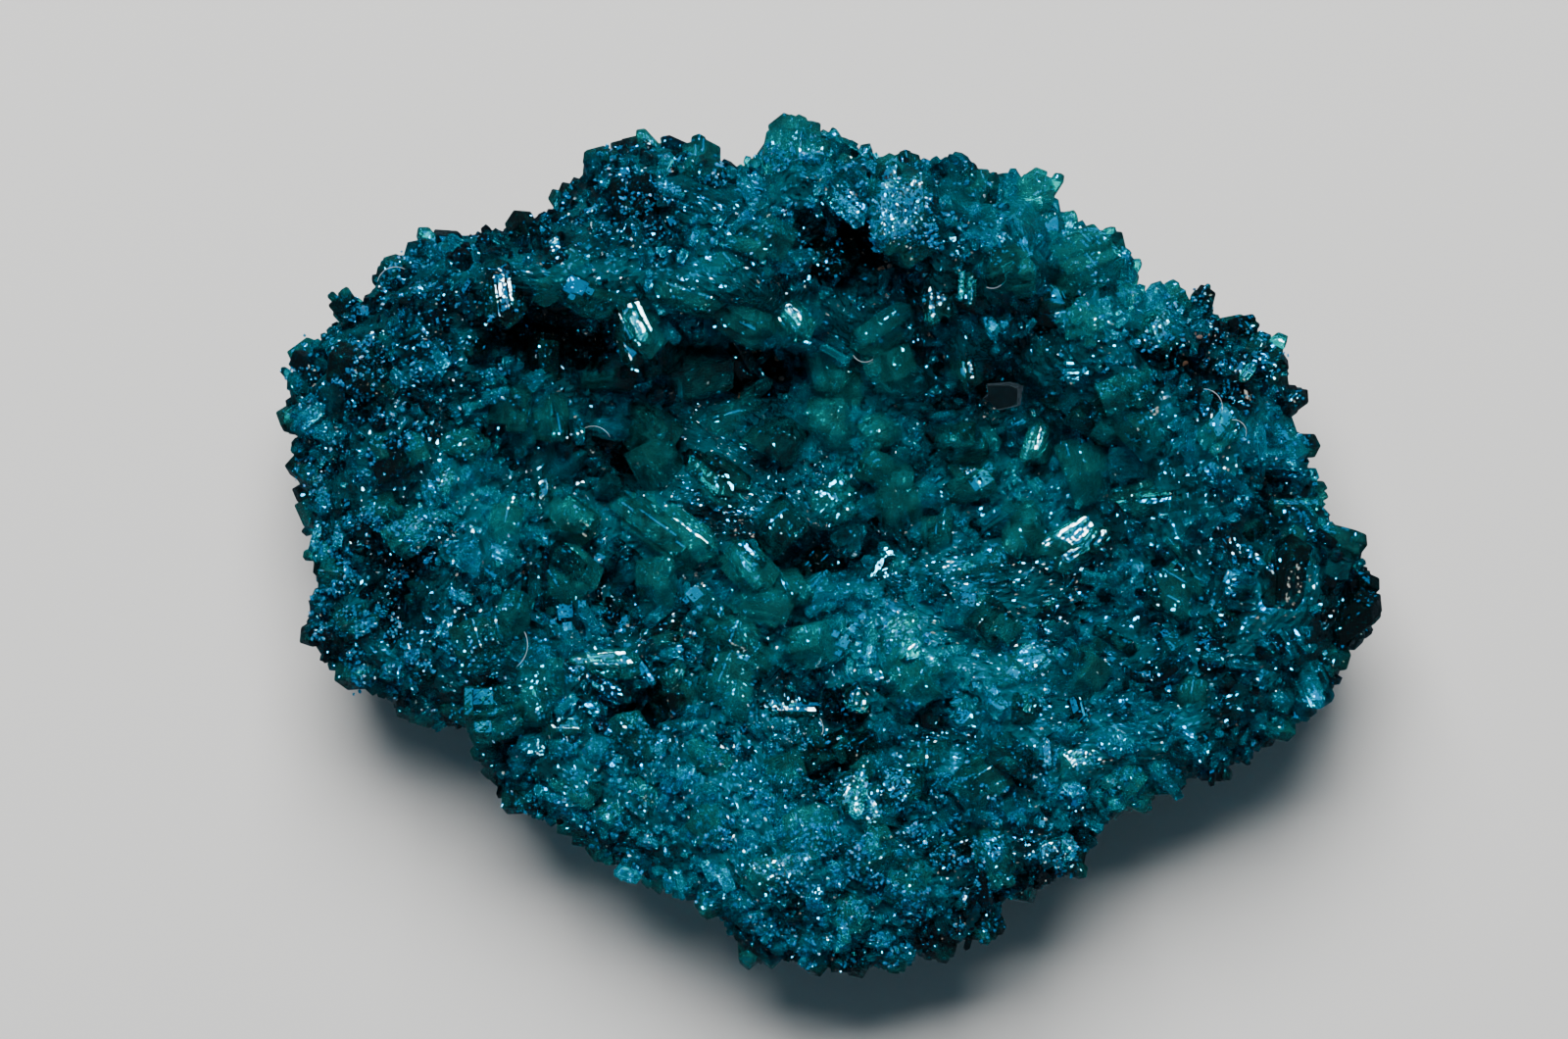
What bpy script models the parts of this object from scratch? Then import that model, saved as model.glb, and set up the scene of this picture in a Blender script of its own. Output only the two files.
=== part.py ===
"""Dioptase specimen: one miniature plate of intergrown crystals, lying on its cut back.

The plate is a shallow bowl of crystals that grew together on the wall of a pocket. Its back was trimmed
flat where it left the rock, and the bowl faces up. Lengths are in millimetres until the last step, which
turns them into metres. +Z is up, +X runs along the plate and +Y points to its thick upper rim. The origin
is the bottom centre of the finished specimen's box.
"""

import math
import random

import bmesh
import bpy
from mathutils import Matrix, Vector
from mathutils.geometry import delaunay_2d_cdt

MM = 0.001
WIDTH = 50.0
DEPTH = 39.1

# Heights of the crust: the bowl's floor, the rim's crest and the thin outer edge.
FLOOR = 6.3
CREST = 11.4
EDGE = 6.4

# Shares of the way from the middle to the outline where each stretch of the crust ends.
FLOOR_END = 0.40
CREST_START = 0.82
CREST_END = 0.87
BACK_END = 1.10
RIM_INSET = 1.0
EDGE_EASE = (-3.0, -1.0, 1.0, 3.0)

# The rim's outline, crystals included, anticlockwise from the right: x and y.
OUTLINE = (
    (24.0, 0.0), (22.5, 0.8), (22.0, 3.5), (21.3, 5.7), (20.3, 8.3), (17.9, 10.5), (15.9, 11.4),
    (13.9, 11.4), (13.5, 13.4), (12.0, 14.4), (10.6, 14.3), (10.0, 16.6), (7.3, 16.7), (5.7, 17.7),
    (3.3, 17.6), (1.6, 18.0), (0.5, 18.7), (-1.3, 19.4), (-2.6, 19.1), (-2.9, 16.7), (-4.2, 16.7),
    (-4.9, 17.9), (-6.8, 18.0), (-8.1, 18.7), (-10.8, 17.3), (-12.1, 15.6), (-13.4, 14.9),
    (-14.1, 13.6), (-15.8, 14.6), (-17.4, 14.0), (-19.8, 12.5), (-21.3, 10.7), (-22.4, 9.4),
    (-23.5, 9.3), (-24.0, 7.2), (-25.0, 6.2), (-23.1, 4.6), (-23.5, 3.0), (-22.4, -1.8),
    (-23.9, -4.5), (-21.8, -5.8), (-19.6, -7.2), (-16.9, -8.2), (-15.3, -9.0), (-14.7, -12.0),
    (-11.7, -12.9), (-9.9, -14.4), (-8.8, -15.1), (-6.4, -15.9), (-4.6, -17.2), (-3.5, -18.8),
    (-0.3, -19.5), (4.4, -19.1), (5.3, -18.1), (7.0, -18.5), (7.6, -17.0), (9.1, -15.9),
    (10.6, -15.5), (12.9, -12.9), (13.2, -11.7), (15.2, -11.2), (18.1, -10.4), (19.8, -9.4),
    (22.0, -7.2), (23.8, -4.7), (25.0, -2.3),
)

# How far the crest stands above or below CREST, by angle: the rim is thick at +Y and low at -Y.
CREST_RISE = (
    (0, -0.6), (60, 1.2), (95, 2.0), (130, 1.4), (180, -0.8), (230, -2.2), (270, -2.6), (320, -1.8),
)

# Share of the way out where the flat cut on the back ends, by angle. It keeps clear of the hole.
FOOT_SHARE = ((0, 0.52), (15, 0.36), (40, 0.30), (62, 0.36), (80, 0.52), (180, 0.60), (270, 0.56))

# Hollows and mounds in the bowl: x, y, half-length, half-breadth, turn in degrees, height.
RELIEF = (
    (1.2, 12.8, 2.4, 1.7, -15, -4.8),
    (-3.2, 8.0, 3.2, 1.2, -8, -3.8),
    (10.2, 10.7, 2.2, 1.0, 60, -3.4),
    (-8.2, 3.4, 1.3, 1.1, 0, -2.2),
    (0.4, -0.6, 2.4, 0.9, 8, -2.2),
    (-18.6, -2.0, 2.4, 1.5, 90, -2.8),
    (19.4, 1.6, 1.9, 1.5, 70, -3.0),
    (-8.1, -7.2, 1.5, 1.1, 10, -2.0),
    (15.4, 8.0, 2.6, 1.0, -25, -2.8),
    (-12.6, 9.2, 3.4, 1.5, -10, -3.0),
    (-8.4, 14.4, 1.8, 1.2, 0, -2.8),
    (8.4, 4.2, 2.8, 0.9, 5, -1.4),
    (-4.6, 10.8, 2.8, 1.4, -10, 3.2),
    (-5.4, 1.6, 4.6, 2.0, -15, 1.4),
    (3.6, -4.2, 3.4, 2.2, 30, 1.0),
    (8.6, -1.4, 3.0, 1.6, 10, 1.0),
    (-1.8, -14.4, 4.2, 1.6, 5, 1.2),
    (7.75, 6.5, 1.5, 1.3, 0, -1.8),
)

# The hole through the floor: middle, half-length and half-breadth, and the recess under it.
HOLE = (7.75, 6.5)
HOLE_HALF = (0.72, 0.55)
RECESS_RISE = 1.7
RECESS_SPREAD = 3.0

# Crystals that stand out in the bowl and on the rim: x, y, length, width, heading and tilt in degrees, and
# how far the middle stands above the crust. Heading turns from +X towards +Y, and tilt lifts the tip.
CRYSTALS = (
    (-13.9, 10.9, 3.4, 1.6, -80, 24, 0.9), (-11.2, 11.8, 4.2, 2.0, 30, 14, 0.7),
    (-18.4, 8.7, 2.2, 0.7, -20, 12, 0.5), (-15.2, 8.5, 2.2, 1.2, -70, 62, 0.3),
    (-20.8, 10.4, 2.0, 1.3, 130, 58, 0.2), (-8.2, 9.6, 3.6, 1.8, -62, 26, 0.9),
    (-5.8, 11.0, 3.4, 2.0, -18, 8, 0.6), (-3.5, 9.9, 3.2, 1.8, -28, 4, 0.7),
    (-4.4, 12.0, 2.8, 1.7, 14, 20, 0.4), (-1.5, 9.9, 2.8, 1.6, -50, 16, 0.7),
    (3.4, 14.3, 5.0, 3.1, -84, 48, 0.2), (2.4, 9.6, 3.6, 1.9, 35, 22, 0.7),
    (0.7, 10.3, 1.9, 1.0, 84, 40, 0.5), (-5.2, 16.0, 2.6, 2.0, 118, 52, 0.1),
    (-1.3, 17.0, 3.2, 2.4, 76, 44, 0.1), (0.9, 16.3, 1.9, 0.9, 88, 44, 0.5),
    (6.6, 15.3, 2.8, 1.5, 86, 38, 0.5), (9.1, 15.3, 2.6, 1.8, 62, 42, 0.4),
    (11.2, 12.2, 3.8, 2.6, 16, 26, 0.4), (11.2, 9.6, 2.6, 2.0, -96, 66, 0.2),
    (14.4, 9.3, 2.4, 1.9, -60, 54, 0.3), (16.4, 10.6, 2.0, 1.0, 78, 40, 0.4),
    (18.1, 9.5, 1.8, 0.9, 12, 28, 0.4), (19.3, 8.2, 2.2, 1.2, -30, 18, 0.4),
    (5.0, 11.2, 2.8, 1.1, 86, 40, 0.7), (6.1, 7.9, 2.6, 1.4, 94, 22, 0.5),
    (9.5, 8.2, 2.0, 1.3, 58, 48, 0.3), (9.9, 6.6, 1.8, 1.2, -12, 40, 0.3),
    (-19.1, 1.4, 2.4, 1.8, 24, 60, 0.2), (-21.0, -1.5, 2.8, 1.8, 158, 44, 0.3),
    (-20.4, -3.4, 2.4, 1.6, 206, 54, 0.2), (-16.9, -1.7, 2.6, 1.1, 20, 24, 0.5),
    (-18.6, -4.2, 2.0, 1.3, 250, 60, 0.2), (-17.3, -5.6, 1.8, 1.2, 240, 70, 0.2),
    (-15.7, -7.2, 2.6, 1.5, -25, 16, 0.4), (-6.8, 0.6, 5.2, 2.8, -35, 8, 0.7),
    (-4.6, 2.5, 3.6, 2.5, -40, 22, 0.5), (-2.0, 0.8, 3.2, 2.3, -72, 50, 0.4),
    (-9.4, -5.2, 3.0, 1.3, 12, 18, 0.7), (-11.4, -8.0, 2.4, 1.2, 8, 22, 0.6),
    (-12.3, 2.6, 2.2, 0.9, 88, 40, 0.4), (-4.7, 5.4, 3.8, 1.6, 15, 8, 0.5),
    (-4.0, 4.2, 2.2, 1.1, -10, 14, 0.4), (-7.2, -4.1, 2.4, 1.3, 15, 14, 0.4),
    (0.2, 1.8, 2.8, 1.7, 30, 22, 0.5), (7.0, -1.1, 4.4, 1.9, 15, 8, 0.7),
    (11.2, 0.4, 4.0, 2.0, 40, 18, 0.8), (9.8, -2.7, 3.8, 1.7, 15, 6, 0.4),
    (3.4, -4.3, 3.0, 2.1, 70, 34, 0.4), (8.6, -5.5, 2.8, 1.9, 30, 28, 0.5),
    (8.8, -7.4, 2.2, 1.6, -80, 66, 0.3), (1.3, -6.9, 2.2, 1.3, -60, 56, 0.4),
    (-1.5, -7.3, 3.2, 1.3, 5, 10, 0.5), (9.5, 4.4, 2.2, 1.1, 70, 30, 0.6),
    (3.1, -1.3, 2.2, 0.8, 60, 30, 0.5), (4.9, 0.4, 2.4, 1.6, 92, 44, 0.3),
    (20.0, -1.5, 4.2, 2.1, 88, 12, 0.5), (22.8, -3.2, 3.4, 1.7, 38, 14, 0.2),
    (18.2, 0.4, 2.2, 1.5, 200, 58, 0.3), (20.4, 1.4, 2.8, 1.5, 6, 26, 0.5),
    (15.3, 0.0, 2.2, 0.9, 120, 34, 0.4), (15.9, -6.7, 2.4, 1.5, 88, 36, 0.4),
    (17.5, -7.4, 1.8, 0.8, 84, 44, 0.3), (14.6, 2.0, 3.6, 1.5, 5, 12, 0.5),
    (-7.8, -11.2, 2.6, 1.2, 105, 30, 0.4), (-10.8, -10.4, 2.8, 1.6, -30, 22, 0.3),
    (-9.2, -11.8, 1.8, 1.2, 225, 52, 0.3), (1.9, -11.7, 2.8, 1.4, 100, 28, 0.6),
    (-2.1, -14.4, 3.6, 2.0, 20, 24, 0.3), (1.2, -16.2, 2.4, 1.5, -70, 40, 0.3),
    (10.9, -9.6, 2.4, 1.5, 20, 34, 0.4), (13.1, -10.2, 2.2, 1.4, -40, 46, 0.3),
    (5.4, -13.6, 2.8, 1.7, 40, 34, 0.3), (-4.9, -9.6, 2.8, 1.5, 150, 26, 0.4),
    (4.6, -9.4, 2.8, 1.6, 200, 34, 0.3), (-13.6, -3.2, 3.0, 1.7, 64, 30, 0.4),
    (-15.8, 4.4, 2.6, 1.5, -10, 34, 0.3), (13.2, -4.4, 3.0, 1.7, -30, 30, 0.4),
    (17.3, -3.6, 2.6, 1.6, 140, 40, 0.3), (17.0, 5.0, 2.8, 1.6, 230, 34, 0.3),
)

# Crystals that point outwards all round the rim, and those scattered between the ones listed above.
RIM_STEP = 2.2
RIM_LENGTH = (2.2, 3.8)
RIM_WIDTH = (1.1, 2.1)
SCATTER_TRIES = 10
SCATTER_COUNT = 66
SCATTER_END = 0.92
SCATTER_LENGTH = (2.6, 4.2)
SCATTER_WIDTH = (1.6, 2.5)
ROOT_DEPTH = 0.9
BACK_COUNT = 20
LEAST_HEIGHT = 0.35

# How far the crust's corners stray from its smooth form, which gives it flat facets.
LUMP = 0.35

# The crystal's end: three rhomb faces, each over one prism edge and this steep.
END_SLOPE = math.tan(math.radians(51.0))
SEED = 11

EDGE_CORNERS = 60
LATTICE_STEP = 2.3
LATTICE_END = 0.95
BACK_SHARE = 0.86


def smooth(low, high, x):
    """0 below low, 1 above high, with a smooth step between."""
    t = min(1.0, max(0.0, (x - low) / (high - low)))
    return t * t * (3.0 - 2.0 * t)


def by_angle(table, angle):
    """A table's value at an angle in degrees, smoothed between its rows and closed round the turn."""
    angle = angle % 360.0
    first = table[0]
    ring = ((table[-1][0] - 360.0, table[-1][1]),) + table + ((first[0] + 360.0, first[1]),)
    for (a0, v0), (a1, v1) in zip(ring, ring[1:]):
        if a0 <= angle < a1:
            return v0 + (v1 - v0) * smooth(a0, a1, angle)
    return first[1]


def outline_table():
    """The outline as rows of angle and distance from the middle, a little inside its crystals' tips."""
    rows = [(math.degrees(math.atan2(y, x)) % 360.0, math.hypot(x, y) - RIM_INSET) for x, y in OUTLINE]
    return tuple(sorted(rows))


EDGE_TABLE = outline_table()


def edge_at(angle):
    """Distance from the middle to the crust's edge at an angle in degrees, its corners eased."""
    return sum(by_angle(EDGE_TABLE, angle + ease) for ease in EDGE_EASE) / len(EDGE_EASE)


def angle_of(x, y):
    return math.degrees(math.atan2(y, x))


def share_at(x, y):
    """Share of the way from the middle to the crust's edge: 0 in the middle, 1 at the edge."""
    return math.hypot(x, y) / edge_at(angle_of(x, y))


def relief(x, y):
    """Height that the hollows and mounds add at a point."""
    total = 0.0
    for cx, cy, half_length, half_breadth, turn, height in RELIEF:
        c = math.cos(math.radians(turn))
        s = math.sin(math.radians(turn))
        u = ((x - cx) * c + (y - cy) * s) / half_length
        v = (-(x - cx) * s + (y - cy) * c) / half_breadth
        total += height * math.exp(-(u * u + v * v))
    return total


def top_height(x, y):
    """Height of the crust's upper side: a floor, a rise to the crest, and a fall to the thin edge."""
    share = share_at(x, y)
    crest = CREST + by_angle(CREST_RISE, angle_of(x, y))
    floor = FLOOR - 0.03 * y
    height = floor + (crest - floor) * smooth(FLOOR_END, CREST_START, share)
    fall = smooth(CREST_END, 1.03, share)
    height += (EDGE + 1.0 - crest) * fall
    return height + relief(x, y) * (1.0 - fall)


def back_height(x, y):
    """Height of the back: it rises from the flat cut to the edge, and has a recess under the hole."""
    foot = by_angle(FOOT_SHARE, angle_of(x, y))
    rise = smooth(foot, BACK_END, share_at(x, y))
    away = math.hypot(x - HOLE[0], y - HOLE[1]) / RECESS_SPREAD
    return EDGE * rise + RECESS_RISE * math.exp(-away * away) * smooth(0.0, 0.08, rise)


def normal_at(height, x, y):
    """Upward unit normal of a height function at a point."""
    step = 0.25
    dx = (height(x + step, y) - height(x - step, y)) / (2.0 * step)
    dy = (height(x, y + step) - height(x, y - step)) / (2.0 * step)
    return Vector((-dx, -dy, 1.0)).normalized()


def point_at(angle, share):
    distance = edge_at(angle) * share
    return distance * math.cos(math.radians(angle)), distance * math.sin(math.radians(angle))


def add_ring(bm, dice, height, share):
    """One ring of corners round the crust at a share of the way out, each a little off a height function."""
    ring = []
    for i in range(EDGE_CORNERS):
        x, y = point_at(360.0 * i / EDGE_CORNERS + dice.uniform(-1.0, 1.0), share)
        ring.append(bm.verts.new((x, y, height(x, y) + dice.uniform(-LUMP, LUMP))))
    return ring


def foot_ring(bm):
    """The border of the flat cut on the back, at height 0."""
    ring = []
    for i in range(EDGE_CORNERS):
        angle = 360.0 * i / EDGE_CORNERS
        x, y = point_at(angle, by_angle(FOOT_SHARE, angle))
        ring.append(bm.verts.new((x, y, 0.0)))
    return ring


def join_rings(bm, inner, outer):
    for i in range(len(inner)):
        j = (i + 1) % len(inner)
        bm.faces.new((inner[i], outer[i], outer[j], inner[j]))


def lattice_points(dice):
    """Points of a triangular lattice inside the edge, each pushed a little to one side."""
    points = []
    rows = int(WIDTH / LATTICE_STEP)
    for row in range(-rows, rows + 1):
        for column in range(-rows, rows + 1):
            x = LATTICE_STEP * (column + 0.5 * (row % 2)) + dice.uniform(-0.25, 0.25) * LATTICE_STEP
            y = LATTICE_STEP * 0.866 * row + dice.uniform(-0.25, 0.25) * LATTICE_STEP
            if share_at(x, y) < LATTICE_END:
                points.append(Vector((x, y)))
    return points


def add_top(bm, dice, edge):
    """The upper side: triangles between the edge's corners and a lattice, at the top's height."""
    border = [corner.co.xy for corner in edge]
    points = border + lattice_points(dice)
    loop = list(range(len(border)))
    flat, _, faces, origins, _, _ = delaunay_2d_cdt(points, [], [loop], 1, 1e-4)
    corners = []
    for point, sources in zip(flat, origins):
        if sources and sources[0] < len(edge):
            corners.append(edge[sources[0]])
            continue
        z = top_height(point.x, point.y) + dice.uniform(-LUMP, LUMP)
        corners.append(bm.verts.new((point.x, point.y, z)))
    for face in faces:
        bm.faces.new([corners[i] for i in face])


def build_crust():
    """The closed crust that the crystals share: bowl, rim, edge and back with its flat cut."""
    dice = random.Random(SEED)
    bm = bmesh.new()
    edge = add_ring(bm, dice, top_height, 1.0)
    back = add_ring(bm, dice, back_height, BACK_SHARE)
    foot = foot_ring(bm)
    add_top(bm, dice, edge)
    join_rings(bm, edge, back)
    join_rings(bm, back, foot)
    bm.faces.new(foot)
    bmesh.ops.recalc_face_normals(bm, faces=bm.faces)
    return bm


def object_from(bm, name):
    """A linked object from a bmesh."""
    mesh = bpy.data.meshes.new(name)
    bm.to_mesh(mesh)
    bm.free()
    made = bpy.data.objects.new(name, mesh)
    bpy.context.collection.objects.link(made)
    return made


def crystal_bmesh(middle, axis, length, width, spin):
    """A six-sided prism about an axis, with three rhomb faces at each end, one end turned by 60 degrees."""
    radius = width / 2.0
    bm = bmesh.new()
    low_ring, high_ring = [], []
    for i in range(6):
        a = math.radians(60.0 * i)
        x, y = radius * math.cos(a), radius * math.sin(a)
        deep = END_SLOPE * radius
        drop_high = deep if i % 2 == 0 else deep / 2.0
        drop_low = deep / 2.0 if i % 2 == 0 else deep
        high_ring.append(bm.verts.new((x, y, length / 2.0 - drop_high)))
        low_ring.append(bm.verts.new((x, y, drop_low - length / 2.0)))
    tip = bm.verts.new((0.0, 0.0, length / 2.0))
    root = bm.verts.new((0.0, 0.0, -length / 2.0))
    for i in range(6):
        j = (i + 1) % 6
        bm.faces.new((low_ring[i], low_ring[j], high_ring[j], high_ring[i]))
    for i in range(0, 6, 2):
        bm.faces.new((tip, high_ring[i - 1], high_ring[i], high_ring[i + 1]))
        bm.faces.new((root, low_ring[(i + 2) % 6], low_ring[i + 1], low_ring[i]))
    turn = axis.to_track_quat("Z", "Y").to_matrix().to_4x4()
    place = Matrix.Translation(middle) @ turn @ Matrix.Rotation(math.radians(spin), 4, "Z")
    bmesh.ops.transform(bm, matrix=place, verts=bm.verts)
    return bm


def direction(heading, tilt):
    h, t = math.radians(heading), math.radians(tilt)
    return Vector((math.cos(t) * math.cos(h), math.cos(t) * math.sin(h), math.sin(t)))


def lowest(middle, axis, length, width):
    """Lowest height that a crystal reaches."""
    return middle.z - abs(axis.z) * length / 2.0 - math.hypot(axis.x, axis.y) * width / 2.0


def clear_of_hole(middle, axis, length, width):
    """Whether a crystal stays out of the straight way through the hole."""
    for i in range(9):
        along = middle + axis * (length * (i / 8.0 - 0.5))
        if math.hypot(along.x - HOLE[0], along.y - HOLE[1]) < HOLE_HALF[0] + 0.15 + width / 2.0:
            return False
    return True


def rooted(middle, axis, length):
    """A crystal's middle, lowered until at least one point of its axis is well inside the crust."""
    depths = []
    for i in range(7):
        along = middle + axis * (length * 0.8 * (i / 6.0 - 0.5))
        depths.append(top_height(along.x, along.y) - along.z)
    return middle - Vector((0.0, 0.0, max(0.0, ROOT_DEPTH - max(depths))))


def listed_crystals(dice):
    """The crystals listed one by one, each on the crust under it."""
    made = []
    for x, y, length, width, heading, tilt, lift in CRYSTALS:
        axis = direction(heading, tilt)
        middle = rooted(Vector((x, y, top_height(x, y) + lift)), axis, length)
        made.append((middle, axis, length, width, dice.uniform(0.0, 60.0)))
    return made


def rim_crystals(dice):
    """Crystals all round the rim, pointing outwards, by turns a little above and a little below the edge."""
    made = []
    angle = 0.0
    upper = True
    while angle < 360.0:
        length = dice.uniform(*RIM_LENGTH)
        width = dice.uniform(*RIM_WIDTH)
        reach = edge_at(angle) + RIM_INSET - length / 2.0 - dice.uniform(0.0, 0.35)
        x, y = point_at(angle, reach / edge_at(angle))
        level, tilt = (0.72, dice.uniform(4.0, 34.0)) if upper else (0.30, dice.uniform(-20.0, 4.0))
        z = back_height(x, y) + (top_height(x, y) - back_height(x, y)) * level
        axis = direction(angle + dice.uniform(-26.0, 26.0), tilt)
        made.append((Vector((x, y, z)), axis, length, width, dice.uniform(0.0, 60.0)))
        angle += math.degrees(RIM_STEP * dice.uniform(0.7, 1.3) / edge_at(angle))
        upper = not upper
    return made


def scattered_crystals(dice, taken):
    """Crystals between the listed ones, each in the barest of a few places and leaning from the normal."""
    made = []
    for _ in range(SCATTER_COUNT):
        places = []
        for _ in range(SCATTER_TRIES):
            places.append(point_at(dice.uniform(0.0, 360.0), math.sqrt(dice.uniform(0.0, SCATTER_END))))
        x, y = max(places, key=lambda place: min(math.dist(place, other) for other in taken))
        taken.append((x, y))
        length = dice.uniform(*SCATTER_LENGTH)
        width = dice.uniform(*SCATTER_WIDTH)
        lean = direction(dice.uniform(0.0, 360.0), 0.0)
        axis = (normal_at(top_height, x, y) + lean * dice.uniform(0.3, 1.3)).normalized()
        middle = Vector((x, y, top_height(x, y))) + axis * length * 0.12
        made.append((middle, axis, length, width, dice.uniform(0.0, 60.0)))
    return made


def back_crystals(dice):
    """Crystals on the rising part of the back, leaning outwards and clear of the surface it rests on."""
    made = []
    for i in range(BACK_COUNT):
        angle = 360.0 * (i + dice.uniform(-0.3, 0.3)) / BACK_COUNT
        x, y = point_at(angle, dice.uniform(0.80, 0.92))
        length = dice.uniform(*SCATTER_LENGTH)
        width = dice.uniform(*SCATTER_WIDTH)
        down = -normal_at(back_height, x, y)
        axis = (down + direction(angle + dice.uniform(-40.0, 40.0), 0.0)).normalized()
        middle = Vector((x, y, back_height(x, y))) + axis * length * 0.10
        short = LEAST_HEIGHT - lowest(middle, axis, length, width)
        middle.z += max(0.0, short)
        made.append((middle, axis, length, width, dice.uniform(0.0, 60.0)))
    return made


def all_crystals():
    """Every crystal of the solid, those in the way of the hole left out."""
    dice = random.Random(SEED)
    listed = listed_crystals(dice)
    rim = rim_crystals(dice)
    taken = [crystal[0].to_tuple()[:2] for crystal in listed + rim]
    scattered = scattered_crystals(dice, taken)
    back = back_crystals(dice)
    return [crystal for crystal in listed + rim + scattered + back if clear_of_hole(*crystal[:4])]


def hide_helper(helper):
    helper.hide_render = True
    helper.display_type = "WIRE"


def add_boolean(target, name, operation):
    modifier = target.modifiers.new(name, "BOOLEAN")
    modifier.operation = operation
    modifier.solver = "EXACT"
    return modifier


def pierce_hole(crust):
    """Cuts the hole through the floor with a six-sided prism, a little wider at the top."""
    bm = bmesh.new()
    bmesh.ops.create_cone(bm, cap_ends=True, segments=6, radius1=1.0, radius2=1.25, depth=20.0)
    stretch = Matrix.Diagonal((HOLE_HALF[0], HOLE_HALF[1], 1.0, 1.0))
    place = Matrix.Translation((HOLE[0], HOLE[1], FLOOR / 2.0)) @ stretch
    bmesh.ops.transform(bm, matrix=place, verts=bm.verts)
    cutter = object_from(bm, "hole_cutter")
    hide_helper(cutter)
    add_boolean(crust, "hole", "DIFFERENCE").object = cutter


def join_crystals(crust):
    """Joins every crystal with the crust in one body."""
    group = bpy.data.collections.new("crystals")
    bpy.context.scene.collection.children.link(group)
    group.hide_render = True
    for number, (middle, axis, length, width, spin) in enumerate(all_crystals()):
        shape = crystal_bmesh(middle, axis, length, width, spin)
        helper = object_from(shape, f"crystal_{number:03d}")
        bpy.context.collection.objects.unlink(helper)
        group.objects.link(helper)
        hide_helper(helper)
    union = add_boolean(crust, "grown_together", "UNION")
    union.operand_type = "COLLECTION"
    union.collection = group


def finished_mesh(crust):
    """The joined body in metres: its box is WIDTH by DEPTH about the origin, its flat cut at height 0."""
    bpy.context.view_layer.update()
    graph = bpy.context.evaluated_depsgraph_get()
    mesh = bpy.data.meshes.new_from_object(crust.evaluated_get(graph))
    xs = [corner.co.x for corner in mesh.vertices]
    ys = [corner.co.y for corner in mesh.vertices]
    centre = Matrix.Translation((-(min(xs) + max(xs)) / 2.0, -(min(ys) + max(ys)) / 2.0, 0.0))
    sides = (WIDTH / (max(xs) - min(xs)), DEPTH / (max(ys) - min(ys)), 1.0)
    mesh.transform(Matrix.Scale(MM, 4) @ Matrix.Diagonal((*sides, 1.0)) @ centre)
    return mesh


def teal_stone():
    """Clear blue-green dioptase, here as one opaque glossy colour."""
    material = bpy.data.materials.new("dioptase_teal")
    material.use_nodes = True
    shader = material.node_tree.nodes["Principled BSDF"]
    shader.inputs["Base Color"].default_value = (0.004, 0.085, 0.105, 1.0)
    shader.inputs["Roughness"].default_value = 0.18
    shader.inputs["Metallic"].default_value = 0.0
    shader.inputs["IOR"].default_value = 1.67
    return material


def main():
    for old in list(bpy.data.objects):
        bpy.data.objects.remove(old, do_unlink=True)
    crust = object_from(build_crust(), "crust")
    pierce_hole(crust)
    join_crystals(crust)
    mesh = finished_mesh(crust)
    for helper in list(bpy.data.objects):
        bpy.data.objects.remove(helper, do_unlink=True)
    specimen = bpy.data.objects.new("dioptase_cluster", mesh)
    mesh.materials.clear()
    mesh.materials.append(teal_stone())
    bpy.context.scene.collection.objects.link(specimen)


main()
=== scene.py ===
"""Looks of the dioptase specimen: a shallow plate of intergrown blue-green crystals, lying on its cut back."""

import math
import random

import bpy
import numpy as np
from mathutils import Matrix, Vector


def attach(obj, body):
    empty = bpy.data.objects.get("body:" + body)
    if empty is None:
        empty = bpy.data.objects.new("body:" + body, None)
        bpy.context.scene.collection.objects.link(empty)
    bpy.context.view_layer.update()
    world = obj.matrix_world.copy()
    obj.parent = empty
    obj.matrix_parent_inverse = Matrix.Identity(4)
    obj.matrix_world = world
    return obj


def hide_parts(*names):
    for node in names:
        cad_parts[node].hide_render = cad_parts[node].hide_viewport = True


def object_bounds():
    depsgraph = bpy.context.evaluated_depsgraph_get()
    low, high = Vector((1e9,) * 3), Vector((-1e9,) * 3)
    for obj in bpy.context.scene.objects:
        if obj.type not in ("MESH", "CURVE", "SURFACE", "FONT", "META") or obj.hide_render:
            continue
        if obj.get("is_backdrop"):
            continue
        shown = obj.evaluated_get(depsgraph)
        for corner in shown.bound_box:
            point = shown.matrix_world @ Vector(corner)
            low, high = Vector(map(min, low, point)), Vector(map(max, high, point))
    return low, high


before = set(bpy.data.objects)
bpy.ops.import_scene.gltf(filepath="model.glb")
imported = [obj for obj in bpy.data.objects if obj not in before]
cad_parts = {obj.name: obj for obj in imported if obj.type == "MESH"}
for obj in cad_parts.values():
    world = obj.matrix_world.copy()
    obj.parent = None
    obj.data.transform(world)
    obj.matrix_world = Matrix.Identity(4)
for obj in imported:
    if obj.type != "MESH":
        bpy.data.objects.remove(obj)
cad_low, cad_high = (np.array(corner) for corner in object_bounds())

# The plate's form. The specimen is a crust of crystals that grew on the wall of a pocket in the rock: a
# shallow bowl with a thick upper rim, a thin outer edge, and a back that was trimmed flat when it was
# taken off. Lengths are in millimetres of the plate, and to_world brings them to the model's metres.

MM = 0.001
FLOOR = 6.3
CREST = 11.4
EDGE = 6.4
FLOOR_END = 0.40
CREST_START = 0.82
CREST_END = 0.87
BACK_END = 1.10
RIM_INSET = 1.0
EDGE_EASE = (-3.0, -1.0, 1.0, 3.0)

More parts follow.
